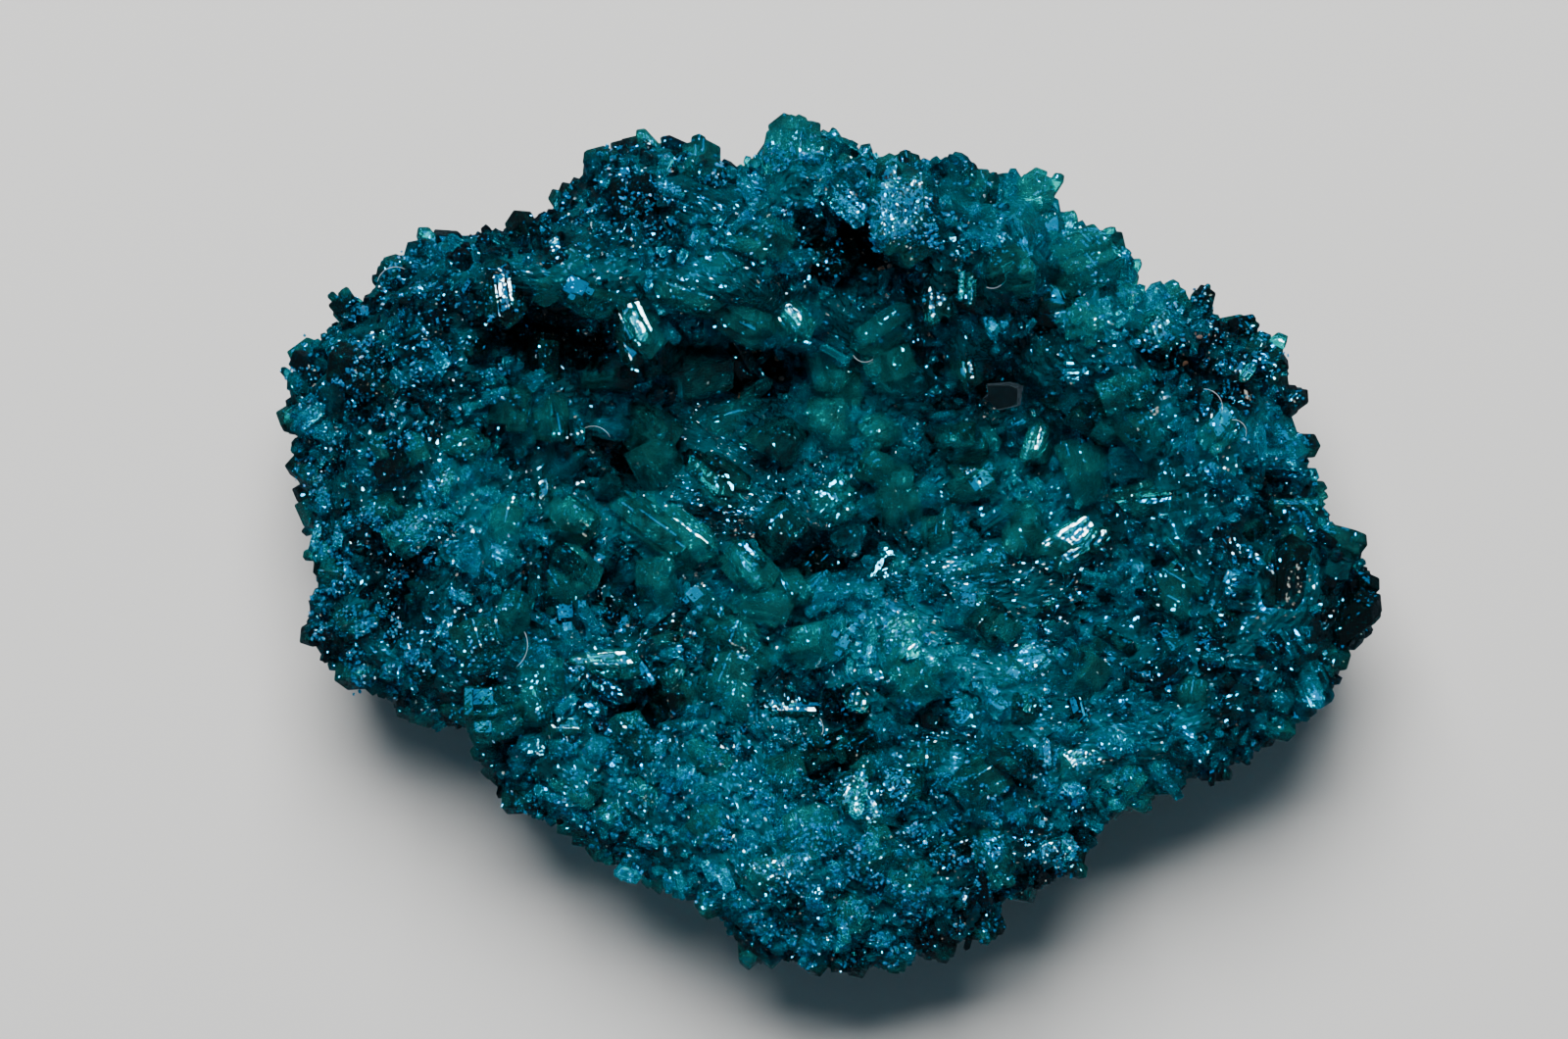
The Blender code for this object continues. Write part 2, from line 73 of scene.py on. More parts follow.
OUTLINE = (
    (24.0, 0.0), (22.5, 0.8), (22.0, 3.5), (21.3, 5.7), (20.3, 8.3), (17.9, 10.5), (15.9, 11.4),
    (13.9, 11.4), (13.5, 13.4), (12.0, 14.4), (10.6, 14.3), (10.0, 16.6), (7.3, 16.7), (5.7, 17.7),
    (3.3, 17.6), (1.6, 18.0), (0.5, 18.7), (-1.3, 19.4), (-2.6, 19.1), (-2.9, 16.7), (-4.2, 16.7),
    (-4.9, 17.9), (-6.8, 18.0), (-8.1, 18.7), (-10.8, 17.3), (-12.1, 15.6), (-13.4, 14.9),
    (-14.1, 13.6), (-15.8, 14.6), (-17.4, 14.0), (-19.8, 12.5), (-21.3, 10.7), (-22.4, 9.4),
    (-23.5, 9.3), (-24.0, 7.2), (-25.0, 6.2), (-23.1, 4.6), (-23.5, 3.0), (-22.4, -1.8),
    (-23.9, -4.5), (-21.8, -5.8), (-19.6, -7.2), (-16.9, -8.2), (-15.3, -9.0), (-14.7, -12.0),
    (-11.7, -12.9), (-9.9, -14.4), (-8.8, -15.1), (-6.4, -15.9), (-4.6, -17.2), (-3.5, -18.8),
    (-0.3, -19.5), (4.4, -19.1), (5.3, -18.1), (7.0, -18.5), (7.6, -17.0), (9.1, -15.9),
    (10.6, -15.5), (12.9, -12.9), (13.2, -11.7), (15.2, -11.2), (18.1, -10.4), (19.8, -9.4),
    (22.0, -7.2), (23.8, -4.7), (25.0, -2.3),
)
CREST_RISE = (
    (0, -0.6), (60, 1.2), (95, 2.0), (130, 1.4), (180, -0.8), (230, -2.2), (270, -2.6), (320, -1.8),
)
FOOT_SHARE = ((0, 0.52), (15, 0.36), (40, 0.30), (62, 0.36), (80, 0.52), (180, 0.60), (270, 0.56))
RELIEF = (
    (1.2, 12.8, 2.4, 1.7, -15, -4.8),
    (-3.2, 8.0, 3.2, 1.2, -8, -3.8),
    (10.2, 10.7, 2.2, 1.0, 60, -3.4),
    (-8.2, 3.4, 1.3, 1.1, 0, -2.2),
    (0.4, -0.6, 2.4, 0.9, 8, -2.2),
    (-18.6, -2.0, 2.4, 1.5, 90, -2.8),
    (19.4, 1.6, 1.9, 1.5, 70, -3.0),
    (-8.1, -7.2, 1.5, 1.1, 10, -2.0),
    (15.4, 8.0, 2.6, 1.0, -25, -2.8),
    (-12.6, 9.2, 3.4, 1.5, -10, -3.0),
    (-8.4, 14.4, 1.8, 1.2, 0, -2.8),
    (8.4, 4.2, 2.8, 0.9, 5, -1.4),
    (-4.6, 10.8, 2.8, 1.4, -10, 3.2),
    (-5.4, 1.6, 4.6, 2.0, -15, 1.4),
    (3.6, -4.2, 3.4, 2.2, 30, 1.0),
    (8.6, -1.4, 3.0, 1.6, 10, 1.0),
    (-1.8, -14.4, 4.2, 1.6, 5, 1.2),
    (7.75, 6.5, 1.5, 1.3, 0, -1.8),
)
HOLE = (7.75, 6.5)
HOLE_HALF = (0.72, 0.55)
RECESS_RISE = 1.7
RECESS_SPREAD = 3.0


def smooth(low, high, x):
    """0 below low, 1 above high, and 3t^2 - 2t^3 of the share t between."""
    t = np.clip((x - low) / (high - low), 0.0, 1.0)
    return t * t * (3.0 - 2.0 * t)


def by_angle(table, angle):
    """A table's value at angles in degrees: smooth steps between its rows, closed round the turn."""
    rows = np.array(table, float)
    rows = np.vstack((rows[-1] - (360.0, 0.0), rows, rows[0] + (360.0, 0.0)))
    angle = np.asarray(angle, float) % 360.0
    k = np.clip(np.searchsorted(rows[:, 0], angle, side="right") - 1, 0, len(rows) - 2)
    return rows[k, 1] + (rows[k + 1, 1] - rows[k, 1]) * smooth(rows[k, 0], rows[k + 1, 0], angle)


EDGE_TABLE = sorted((math.degrees(math.atan2(y, x)) % 360.0, math.hypot(x, y) - RIM_INSET) for x, y in OUTLINE)


def edge_at(angle):
    """Distance from the middle to the crust's edge: the outline's mean over a few degrees."""
    return sum(by_angle(EDGE_TABLE, np.asarray(angle) + ease) for ease in EDGE_EASE) / len(EDGE_EASE)


def angle_of(x, y):
    return np.degrees(np.arctan2(y, x))


def share_at(x, y):
    """Share of the way from the middle to the edge: distance over the edge's distance."""
    return np.hypot(x, y) / edge_at(angle_of(x, y))


def top_height(x, y):
    """Floor, plus a smooth rise to the crest, plus a smooth fall to the edge, plus a sum of Gaussian hollows."""
    share = share_at(x, y)
    crest = CREST + by_angle(CREST_RISE, angle_of(x, y))
    floor = FLOOR - 0.03 * y
    fall = smooth(CREST_END, 1.03, share)
    height = floor + (crest - floor) * smooth(FLOOR_END, CREST_START, share)
    height = height + (EDGE + 1.0 - crest) * fall
    for cx, cy, half_length, half_breadth, turn, rise in RELIEF:
        c = math.cos(math.radians(turn))
        s = math.sin(math.radians(turn))
        u = ((x - cx) * c + (y - cy) * s) / half_length
        v = (-(x - cx) * s + (y - cy) * c) / half_breadth
        height = height + rise * np.exp(-(u * u + v * v)) * (1.0 - fall)
    return height


def back_height(x, y):
    """A smooth rise from the flat cut to the edge, plus a Gaussian recess under the hole."""
    rise = smooth(by_angle(FOOT_SHARE, angle_of(x, y)), BACK_END, share_at(x, y))
    away = np.hypot(x - HOLE[0], y - HOLE[1]) / RECESS_SPREAD
    return EDGE * rise + RECESS_RISE * np.exp(-away * away) * smooth(0.0, 0.08, rise)


def normal_at(height, x, y):
    """Upward unit normals: minus the slopes and 1, at length 1. The slopes are central differences."""
    step = 0.25
    dx = (height(x + step, y) - height(x - step, y)) / (2.0 * step)
    dy = (height(x, y + step) - height(x, y - step)) / (2.0 * step)
    normal = np.stack((-dx, -dy, np.ones_like(dx)), axis=-1)
    return normal / np.linalg.norm(normal, axis=-1, keepdims=True)


def point_at(angle, share):
    distance = edge_at(angle) * share
    return distance * np.cos(np.radians(angle)), distance * np.sin(np.radians(angle))


# The larger crystals. Dioptase grows as six-sided prisms that end in three rhomb faces. Those that can be
# told apart are listed: x, y, length, width, heading and tilt in degrees, and how far the middle stands
# above the crust. The others grew round the rim, between the listed ones and on the back.

CRYSTALS = (
    (-13.9, 10.9, 3.4, 1.6, -80, 24, 0.9), (-11.2, 11.8, 4.2, 2.0, 30, 14, 0.7),
    (-18.4, 8.7, 2.2, 0.7, -20, 12, 0.5), (-15.2, 8.5, 2.2, 1.2, -70, 62, 0.3),
    (-20.8, 10.4, 2.0, 1.3, 130, 58, 0.2), (-8.2, 9.6, 3.6, 1.8, -62, 26, 0.9),
    (-5.8, 11.0, 3.4, 2.0, -18, 8, 0.6), (-3.5, 9.9, 3.2, 1.8, -28, 4, 0.7),
    (-4.4, 12.0, 2.8, 1.7, 14, 20, 0.4), (-1.5, 9.9, 2.8, 1.6, -50, 16, 0.7),
    (3.4, 14.3, 5.0, 3.1, -84, 48, 0.2), (2.4, 9.6, 3.6, 1.9, 35, 22, 0.7),
    (0.7, 10.3, 1.9, 1.0, 84, 40, 0.5), (-5.2, 16.0, 2.6, 2.0, 118, 52, 0.1),
    (-1.3, 17.0, 3.2, 2.4, 76, 44, 0.1), (0.9, 16.3, 1.9, 0.9, 88, 44, 0.5),
    (6.6, 15.3, 2.8, 1.5, 86, 38, 0.5), (9.1, 15.3, 2.6, 1.8, 62, 42, 0.4),
    (11.2, 12.2, 3.8, 2.6, 16, 26, 0.4), (11.2, 9.6, 2.6, 2.0, -96, 66, 0.2),
    (14.4, 9.3, 2.4, 1.9, -60, 54, 0.3), (16.4, 10.6, 2.0, 1.0, 78, 40, 0.4),
    (18.1, 9.5, 1.8, 0.9, 12, 28, 0.4), (19.3, 8.2, 2.2, 1.2, -30, 18, 0.4),
    (5.0, 11.2, 2.8, 1.1, 86, 40, 0.7), (6.1, 7.9, 2.6, 1.4, 94, 22, 0.5),
    (9.5, 8.2, 2.0, 1.3, 58, 48, 0.3), (9.9, 6.6, 1.8, 1.2, -12, 40, 0.3),
    (-19.1, 1.4, 2.4, 1.8, 24, 60, 0.2), (-21.0, -1.5, 2.8, 1.8, 158, 44, 0.3),
    (-20.4, -3.4, 2.4, 1.6, 206, 54, 0.2), (-16.9, -1.7, 2.6, 1.1, 20, 24, 0.5),
    (-18.6, -4.2, 2.0, 1.3, 250, 60, 0.2), (-17.3, -5.6, 1.8, 1.2, 240, 70, 0.2),
    (-15.7, -7.2, 2.6, 1.5, -25, 16, 0.4), (-6.8, 0.6, 5.2, 2.8, -35, 8, 0.7),
    (-4.6, 2.5, 3.6, 2.5, -40, 22, 0.5), (-2.0, 0.8, 3.2, 2.3, -72, 50, 0.4),
    (-9.4, -5.2, 3.0, 1.3, 12, 18, 0.7), (-11.4, -8.0, 2.4, 1.2, 8, 22, 0.6),
    (-12.3, 2.6, 2.2, 0.9, 88, 40, 0.4), (-4.7, 5.4, 3.8, 1.6, 15, 8, 0.5),
    (-4.0, 4.2, 2.2, 1.1, -10, 14, 0.4), (-7.2, -4.1, 2.4, 1.3, 15, 14, 0.4),
    (0.2, 1.8, 2.8, 1.7, 30, 22, 0.5), (7.0, -1.1, 4.4, 1.9, 15, 8, 0.7),
    (11.2, 0.4, 4.0, 2.0, 40, 18, 0.8), (9.8, -2.7, 3.8, 1.7, 15, 6, 0.4),
    (3.4, -4.3, 3.0, 2.1, 70, 34, 0.4), (8.6, -5.5, 2.8, 1.9, 30, 28, 0.5),
    (8.8, -7.4, 2.2, 1.6, -80, 66, 0.3), (1.3, -6.9, 2.2, 1.3, -60, 56, 0.4),
    (-1.5, -7.3, 3.2, 1.3, 5, 10, 0.5), (9.5, 4.4, 2.2, 1.1, 70, 30, 0.6),
    (3.1, -1.3, 2.2, 0.8, 60, 30, 0.5), (4.9, 0.4, 2.4, 1.6, 92, 44, 0.3),
    (20.0, -1.5, 4.2, 2.1, 88, 12, 0.5), (22.8, -3.2, 3.4, 1.7, 38, 14, 0.2),
    (18.2, 0.4, 2.2, 1.5, 200, 58, 0.3), (20.4, 1.4, 2.8, 1.5, 6, 26, 0.5),
    (15.3, 0.0, 2.2, 0.9, 120, 34, 0.4), (15.9, -6.7, 2.4, 1.5, 88, 36, 0.4),
    (17.5, -7.4, 1.8, 0.8, 84, 44, 0.3), (14.6, 2.0, 3.6, 1.5, 5, 12, 0.5),
    (-7.8, -11.2, 2.6, 1.2, 105, 30, 0.4), (-10.8, -10.4, 2.8, 1.6, -30, 22, 0.3),
    (-9.2, -11.8, 1.8, 1.2, 225, 52, 0.3), (1.9, -11.7, 2.8, 1.4, 100, 28, 0.6),
    (-2.1, -14.4, 3.6, 2.0, 20, 24, 0.3), (1.2, -16.2, 2.4, 1.5, -70, 40, 0.3),
    (10.9, -9.6, 2.4, 1.5, 20, 34, 0.4), (13.1, -10.2, 2.2, 1.4, -40, 46, 0.3),
    (5.4, -13.6, 2.8, 1.7, 40, 34, 0.3), (-4.9, -9.6, 2.8, 1.5, 150, 26, 0.4),
    (4.6, -9.4, 2.8, 1.6, 200, 34, 0.3), (-13.6, -3.2, 3.0, 1.7, 64, 30, 0.4),
    (-15.8, 4.4, 2.6, 1.5, -10, 34, 0.3), (13.2, -4.4, 3.0, 1.7, -30, 30, 0.4),
    (17.3, -3.6, 2.6, 1.6, 140, 40, 0.3), (17.0, 5.0, 2.8, 1.6, 230, 34, 0.3),
)
RIM_STEP = 2.2
RIM_LENGTH = (2.2, 3.8)
RIM_WIDTH = (1.1, 2.1)
SCATTER_TRIES = 10
SCATTER_COUNT = 66
SCATTER_END = 0.92
SCATTER_LENGTH = (2.6, 4.2)
SCATTER_WIDTH = (1.6, 2.5)
ROOT_DEPTH = 0.9
BACK_COUNT = 20
LEAST_HEIGHT = 0.35
END_SLOPE = math.tan(math.radians(51.0))
SEED = 11


def direction(heading, tilt):
    h = np.radians(heading)
    t = np.radians(tilt)
    return np.stack((np.cos(t) * np.cos(h), np.cos(t) * np.sin(h), np.sin(t) * np.ones_like(h)), axis=-1)


def lowest(middle, axis, length, width):
    """Lowest height that a crystal reaches: its middle, less half its length and width as they hang down."""
    hang = np.abs(axis[..., 2]) * length + np.hypot(axis[..., 0], axis[..., 1]) * width
    return middle[..., 2] - hang / 2.0


def listed_crystals(dice):
    """The crystals listed one by one, each lowered until its axis is well inside the crust somewhere."""
    made = []
    for x, y, length, width, heading, tilt, lift in CRYSTALS:
        axis = direction(heading, tilt)
        middle = np.array((x, y, top_height(x, y) + lift))
        along = middle + axis * (length * 0.8 * (np.arange(7)[:, None] / 6.0 - 0.5))
        depth = np.max(top_height(along[:, 0], along[:, 1]) - along[:, 2])
        middle[2] -= max(0.0, ROOT_DEPTH - depth)
        made.append((middle, axis, length, width, dice.uniform(0.0, 60.0)))
    return made


def rim_crystals(dice):
    """Crystals round the rim, pointing outwards, by turns a little above and a little below the edge."""
    made = []
    angle = 0.0
    upper = True
    while angle < 360.0:
        length = dice.uniform(*RIM_LENGTH)
        width = dice.uniform(*RIM_WIDTH)
        reach = edge_at(angle) + RIM_INSET - length / 2.0 - dice.uniform(0.0, 0.35)
        x, y = point_at(angle, reach / edge_at(angle))
        level, tilt = (0.72, dice.uniform(4.0, 34.0)) if upper else (0.30, dice.uniform(-20.0, 4.0))
        z = back_height(x, y) + (top_height(x, y) - back_height(x, y)) * level
        axis = direction(angle + dice.uniform(-26.0, 26.0), tilt)
        made.append((np.array((x, y, z)), axis, length, width, dice.uniform(0.0, 60.0)))
        angle += math.degrees(RIM_STEP * dice.uniform(0.7, 1.3) / edge_at(angle))
        upper = not upper
    return made


def scattered_crystals(dice, taken):
    """Crystals between the listed ones, each in the barest of a few places and leaning from the normal."""
    made = []
    for _ in range(SCATTER_COUNT):
        places = []
        for _ in range(SCATTER_TRIES):
            places.append(point_at(dice.uniform(0.0, 360.0), math.sqrt(dice.uniform(0.0, SCATTER_END))))
        x, y = max(places, key=lambda place: min(math.dist(place, other) for other in taken))
        taken.append((x, y))
        length = dice.uniform(*SCATTER_LENGTH)
        width = dice.uniform(*SCATTER_WIDTH)
        lean = direction(dice.uniform(0.0, 360.0), 0.0)
        axis = normal_at(top_height, x, y) + lean * dice.uniform(0.3, 1.3)
        axis = axis / np.linalg.norm(axis)
        middle = np.array((x, y, top_height(x, y))) + axis * length * 0.12
        made.append((middle, axis, length, width, dice.uniform(0.0, 60.0)))
    return made


def back_crystals(dice):
    """Crystals on the rising part of the back, leaning outwards and clear of the surface it rests on."""
    made = []
    for i in range(BACK_COUNT):
        angle = 360.0 * (i + dice.uniform(-0.3, 0.3)) / BACK_COUNT
        x, y = point_at(angle, dice.uniform(0.80, 0.92))
        length = dice.uniform(*SCATTER_LENGTH)
        width = dice.uniform(*SCATTER_WIDTH)
        axis = direction(angle + dice.uniform(-40.0, 40.0), 0.0) - normal_at(back_height, x, y)
        axis = axis / np.linalg.norm(axis)
        middle = np.array((x, y, back_height(x, y))) + axis * length * 0.10
        middle[2] += max(0.0, LEAST_HEIGHT - lowest(middle, axis, length, width))
        made.append((middle, axis, length, width, dice.uniform(0.0, 60.0)))
    return made


def clear_of_hole(middle, axis, length, width):
    """Which crystals stay out of the straight way through the hole, at nine points along their axes."""
    steps = (np.arange(9) / 8.0 - 0.5)[:, None, None]
    along = middle + axis * (length[:, None] * steps)
    away = np.hypot(along[..., 0] - HOLE[0], along[..., 1] - HOLE[1])
    return np.all(away >= HOLE_HALF[0] + 0.15 + width / 2.0, axis=0)


def as_arrays(crystals):
    """Middles, axes, lengths, widths and spins of a list of crystals, as one array each."""
    return [np.array(column, float) for column in zip(*crystals)]


def crystal_corners(middle, axis, length, width, spin):
    """Corners of six-sided prisms with three rhomb faces at each end.

    A ring corner stands at radius r and at 60 degrees times its number. It drops by tan 51 degrees times r
    from the tip where a rhomb face lies over its edge, and by half of that between two rhombs. The far end
    is the near one turned by 60 degrees. Returns 14 corners a crystal: low ring, high ring, root and tip.
    """
    radius = width[:, None] / 2.0
    turn = np.radians(60.0 * np.arange(6) + spin[:, None])
    deep = END_SLOPE * radius * np.where(np.arange(6) % 2 == 0, 1.0, 0.5)
    shallow = END_SLOPE * radius * np.where(np.arange(6) % 2 == 0, 0.5, 1.0)
    half = length[:, None] / 2.0
    upright = np.array((0.0, 0.0, 1.0))
    side = upright - axis * axis[:, 2:3]
    side = side / np.linalg.norm(side, axis=1, keepdims=True)
    across = np.cross(side, axis)
    spoke = across[:, None] * np.cos(turn)[..., None] + side[:, None] * np.sin(turn)[..., None]
    spoke = middle[:, None] + spoke * radius[..., None]
    low = spoke + axis[:, None] * (shallow - half)[..., None]
    high = spoke + axis[:, None] * (half - deep)[..., None]
    root = middle - axis * half
    tip = middle + axis * half
    return np.concatenate((low, high, root[:, None], tip[:, None]), axis=1)


dice = random.Random(SEED)
listed = listed_crystals(dice)
rim = rim_crystals(dice)
scattered = scattered_crystals(dice, [tuple(crystal[0][:2]) for crystal in listed + rim])
back = back_crystals(dice)
large = as_arrays(listed + rim + scattered + back)
kept = clear_of_hole(*large[:4])
large = [column[kept] for column in large]
large_corners = crystal_corners(*large)

plate_low = large_corners.min(axis=(0, 1))
plate_high = large_corners.max(axis=(0, 1))
plate_middle = (plate_low + plate_high) / 2.0 * (1.0, 1.0, 0.0)
stretch = (cad_high - cad_low) / (plate_high - plate_low)
stretch[2] = 1.0 * MM


def to_world(points):
    """Plate millimetres to model metres: centred on the specimen's box and brought to its sides."""
    return (points - plate_middle) * stretch



# The crust under the crystals. It is the first generation of small dioptase, grown together so closely that
# only broken facets show between the later crystals. Its back has rusty crumbs of the rock on it, and
# daylight comes through one hole in its floor.

AROUND = 400
TOP_SHARES = np.linspace(0.0, 1.0, 112)[1:]
BACK_SHARES = np.linspace(1.0, 0.0, 46)[1:-1]
FACET_SIZES = (1.3, 0.6, 0.3)
FACET_RISES = (0.55, 0.30, 0.14)


def facets(x, y, size, seed):
    """Heights of tilted planes with steps between them, within about 0.5 either way.

    Every cell of a square lattice has one seed point with its own height and slopes, and each place takes
    the plane of the nearest seed.
    """
    table = np.random.default_rng(seed).random((97, 97, 5))
    nearest = np.full(np.shape(x), np.inf)
    height = np.zeros(np.shape(x))
    for di in (-1, 0, 1):
        for dj in (-1, 0, 1):
            i = np.floor(x / size).astype(int) + di
            j = np.floor(y / size).astype(int) + dj
            cell = table[i % 97, j % 97]
            dx = x / size - i - cell[..., 0]
            dy = y / size - j - cell[..., 1]
            away = dx * dx + dy * dy
            plane = (cell[..., 2] - 0.5) * 0.6 + dx * (cell[..., 3] - 0.5) + dy * (cell[..., 4] - 0.5)
            height = np.where(away < nearest, plane, height)
            nearest = np.minimum(away, nearest)
    return height


def broken(x, y, seed):
    """Broken crystal facets of three sizes, summed."""
    layers = zip(FACET_SIZES, FACET_RISES)
    return sum(rise * facets(x, y, size, seed + k) for k, (size, rise) in enumerate(layers))


def object_of(name, points, starts, corners, material, flat=True):
    """A linked object of faces: points in plate millimetres, and each face's first place in corners."""
    mesh = bpy.data.meshes.new(name)
    mesh.vertices.add(len(points))
    mesh.vertices.foreach_set("co", to_world(points).astype(np.float32).ravel())
    mesh.loops.add(len(corners))
    mesh.loops.foreach_set("vertex_index", corners.astype(np.int32))
    mesh.polygons.add(len(starts))
    mesh.polygons.foreach_set("loop_start", starts.astype(np.int32))
    mesh.polygons.foreach_set("use_smooth", np.full(len(starts), not flat))
    mesh.update(calc_edges=True)
    mesh.validate()
    mesh.materials.append(material)
    made = bpy.data.objects.new(name, mesh)
    bpy.context.scene.collection.objects.link(made)
    return made


def crust_grid():
    """Rings of points from the middle of the bowl out to the edge and back under to the middle of the cut."""
    angle = 360.0 * np.arange(AROUND) / AROUND
    x, y = point_at(angle[None, :], TOP_SHARES[:, None])
    ease = smooth(1.0, 0.9, TOP_SHARES)[:, None]
    top = np.stack((x, y, top_height(x, y) + broken(x, y, 3) * ease), axis=-1)
    x, y = point_at(angle[None, :], BACK_SHARES[:, None])
    rough = broken(x, y, 9) + 0.5
    level = back_height(x, y)
    lift = rough * (0.12 + 0.5 * smooth(0.0, 0.8, level))
    level = np.maximum(0.0, level + lift * smooth(1.0, 0.97, BACK_SHARES)[:, None])
    under = np.stack((x, y, level), axis=-1)
    return np.concatenate((top, under))


def ring_faces(rings, around):
    """Four-cornered faces between neighbouring rings, and the two fans that close the ends."""
    here = np.arange(around)
    beside = (here + 1) % around
    row = np.arange(rings - 1)[:, None] * around
    quads = np.stack((row + here, row + around + here, row + around + beside, row + beside), axis=-1)
    first = rings * around
    fan_in = np.stack((np.full(around, first), here, beside), axis=-1)
    last = (rings - 1) * around
    fan_out = np.stack((np.full(around, first + 1), last + beside, last + here), axis=-1)
    corners = np.concatenate((quads.ravel(), fan_in.ravel(), fan_out.ravel()))
    sides = np.concatenate((np.full(quads.size // 4, 4), np.full(2 * around, 3)))
    return np.concatenate(([0], np.cumsum(sides)[:-1])), corners


def add_node(tree, kind, **values):
    """A shader node with settings, and with socket values given by name, spaces as underscores."""
    made = tree.nodes.new(kind)
    for name, value in values.items():
        socket = made.inputs.get(name.replace("_", " "))
        if socket is None:
            setattr(made, name, value)
        else:
            socket.default_value = value
    return made


def new_material(name):
    """A node material with its Principled shader: (material, tree, shader)."""
    material = bpy.data.materials.new(name)
    material.use_nodes = True
    return material, material.node_tree, material.node_tree.nodes["Principled BSDF"]


# Painted light and shade: round spots added to the tone of the crust and crystals, x, y, radius and strength a
# row. Positive ones paint places lighter where light falls on slopes facing the lamps, negative ones paint them
# darker where shade falls.
PAINTED_LIGHT_AND_SHADE_SPOTS = (
    (3.4, -4.6, 2.2, 1.5), (8.2, -5.6, 2.0, 0.8), (12.6, -10.2, 2.4, 1.0), (0.0, -3.0, 2.6, 0.6),
    (-16.0, 3.0, 3.0, 0.4), (1.5, 4.6, 2.6, 0.5), (7.6, 4.6, 2.4, 0.4), (12.4, 10.2, 3.4, 0.8),
    (9.6, 14.6, 2.4, 0.6), (17.4, 7.6, 3.2, -0.35), (16.6, 3.4, 2.4, 0.4), (-19.6, 7.4, 3.0, -0.35),
    (21.6, -2.2, 3.0, -0.35), (-0.6, 8.6, 2.8, 0.9), (-6.0, 9.4, 3.0, 0.3), (12.0, -6.6, 3.0, -0.2),
    (-4.6, -12.6, 3.4, 0.8), (2.0, -15.0, 3.0, 0.5), (-13.0, 2.5, 3.5, 0.3), (-0.6, 17.6, 2.4, 0.5),
    (-10.4, -12.0, 2.6, 0.4), (10.4, 2.6, 2.4, 0.4), (20.4, 2.6, 2.4, 0.5), (-7.4, 1.0, 2.0, 0.6),
    (7.4, -3.4, 1.3, 0.6),
    (-12.8, -6.0, 2.4, 0.3), (17.6, -1.6, 2.0, 0.2), (-6.0, 13.8, 2.0, 0.3),
)
DRUSES = (
    (-20.6, 1.0, 4.4, 0.9), (-20.8, -4.0, 3.2, 0.9), (-17.6, -5.4, 2.6, 0.9), (-19.0, 10.2, 4.4, 0.8),
    (-9.0, 16.6, 3.6, 0.7), (-0.6, 16.8, 3.2, 1.0), (-3.2, -13.8, 4.2, 1.0), (3.4, -15.4, 4.2, 0.9),
    (-11.0, -11.4, 3.4, 0.6), (15.0, 11.0, 3.4, 0.6), (20.4, 6.6, 3.4, 0.4), (10.6, -12.0, 3.0, 0.6),
    (3.6, -4.4, 2.0, 0.4), (8.6, -5.8, 1.6, 0.3), (12.6, -10.2, 1.8, 0.5), (-6.6, 14.6, 1.8, 0.5),
    (3.4, 14.3, 2.4, 1.3),
)


def hollow_at(x, y):
    """How deep in a pocket a place is, from 0 to 1: the largest Gaussian of the relief's hollows."""
    deepest = np.zeros(np.shape(x))
    for cx, cy, half_length, half_breadth, turn, rise in RELIEF:
        c = math.cos(math.radians(turn))
        s = math.sin(math.radians(turn))
        u = ((x - cx) * c + (y - cy) * s) / half_length
        v = (-(x - cx) * s + (y - cy) * c) / half_breadth
        deepest = np.maximum(deepest, (rise < -1.7) * np.exp(-(u * u + v * v)))
    return deepest


def spots(table, x, y):
    """Sum of round Gaussian spots: x, y, radius and strength a row."""
    total = np.zeros(np.shape(x))
    for cx, cy, radius, strength in table:
        total = total + strength * np.exp(-((x - cx) ** 2 + (y - cy) ** 2) / (radius * radius))
    return np.minimum(total, 1.3)


def write_attribute(made, name, values):
    layer = made.data.attributes.new(name, "FLOAT", "POINT")
    layer.data.foreach_set("value", np.asarray(values, np.float32))


def group_socket(group, name, kind, side, value=None):
    socket = group.interface.new_socket(name, in_out=side, socket_type=kind)
    if value is not None:
        socket.default_value = value


def math_node(tree, operation, first, second, third=None):
    """A Math node's output from numbers or outputs."""
    made = tree.nodes.new("ShaderNodeMath")
    made.operation = operation
    for socket, value in zip(made.inputs, (first, second, third)):
        if value is None:
            continue
        if isinstance(value, (int, float)):
            socket.default_value = value
        else:
            tree.links.new(value, socket)
    return made.outputs[0]


def vector_node(tree, operation, first, second=None, scale=None):
    """A Vector Math node's output from vectors or outputs."""
    made = tree.nodes.new("ShaderNodeVectorMath")
    made.operation = operation
    for name, value in ((0, first), (1, second), ("Scale", scale)):
        if value is None:
            continue
        if isinstance(value, (int, float, tuple)):
            made.inputs[name].default_value = value
        else:
            tree.links.new(value, made.inputs[name])
    return made.outputs[0]


def map_node(tree, value, from_low, from_high, to_low, to_high):
    """A clamped Map Range node's output."""
    made = add_node(tree, "ShaderNodeMapRange")
    tree.links.new(value, made.inputs["Value"])
    for name, number in zip(("From Min", "From Max", "To Min", "To Max"), (from_low, from_high, to_low, to_high)):
        made.inputs[name].default_value = number
    return made.outputs["Result"]


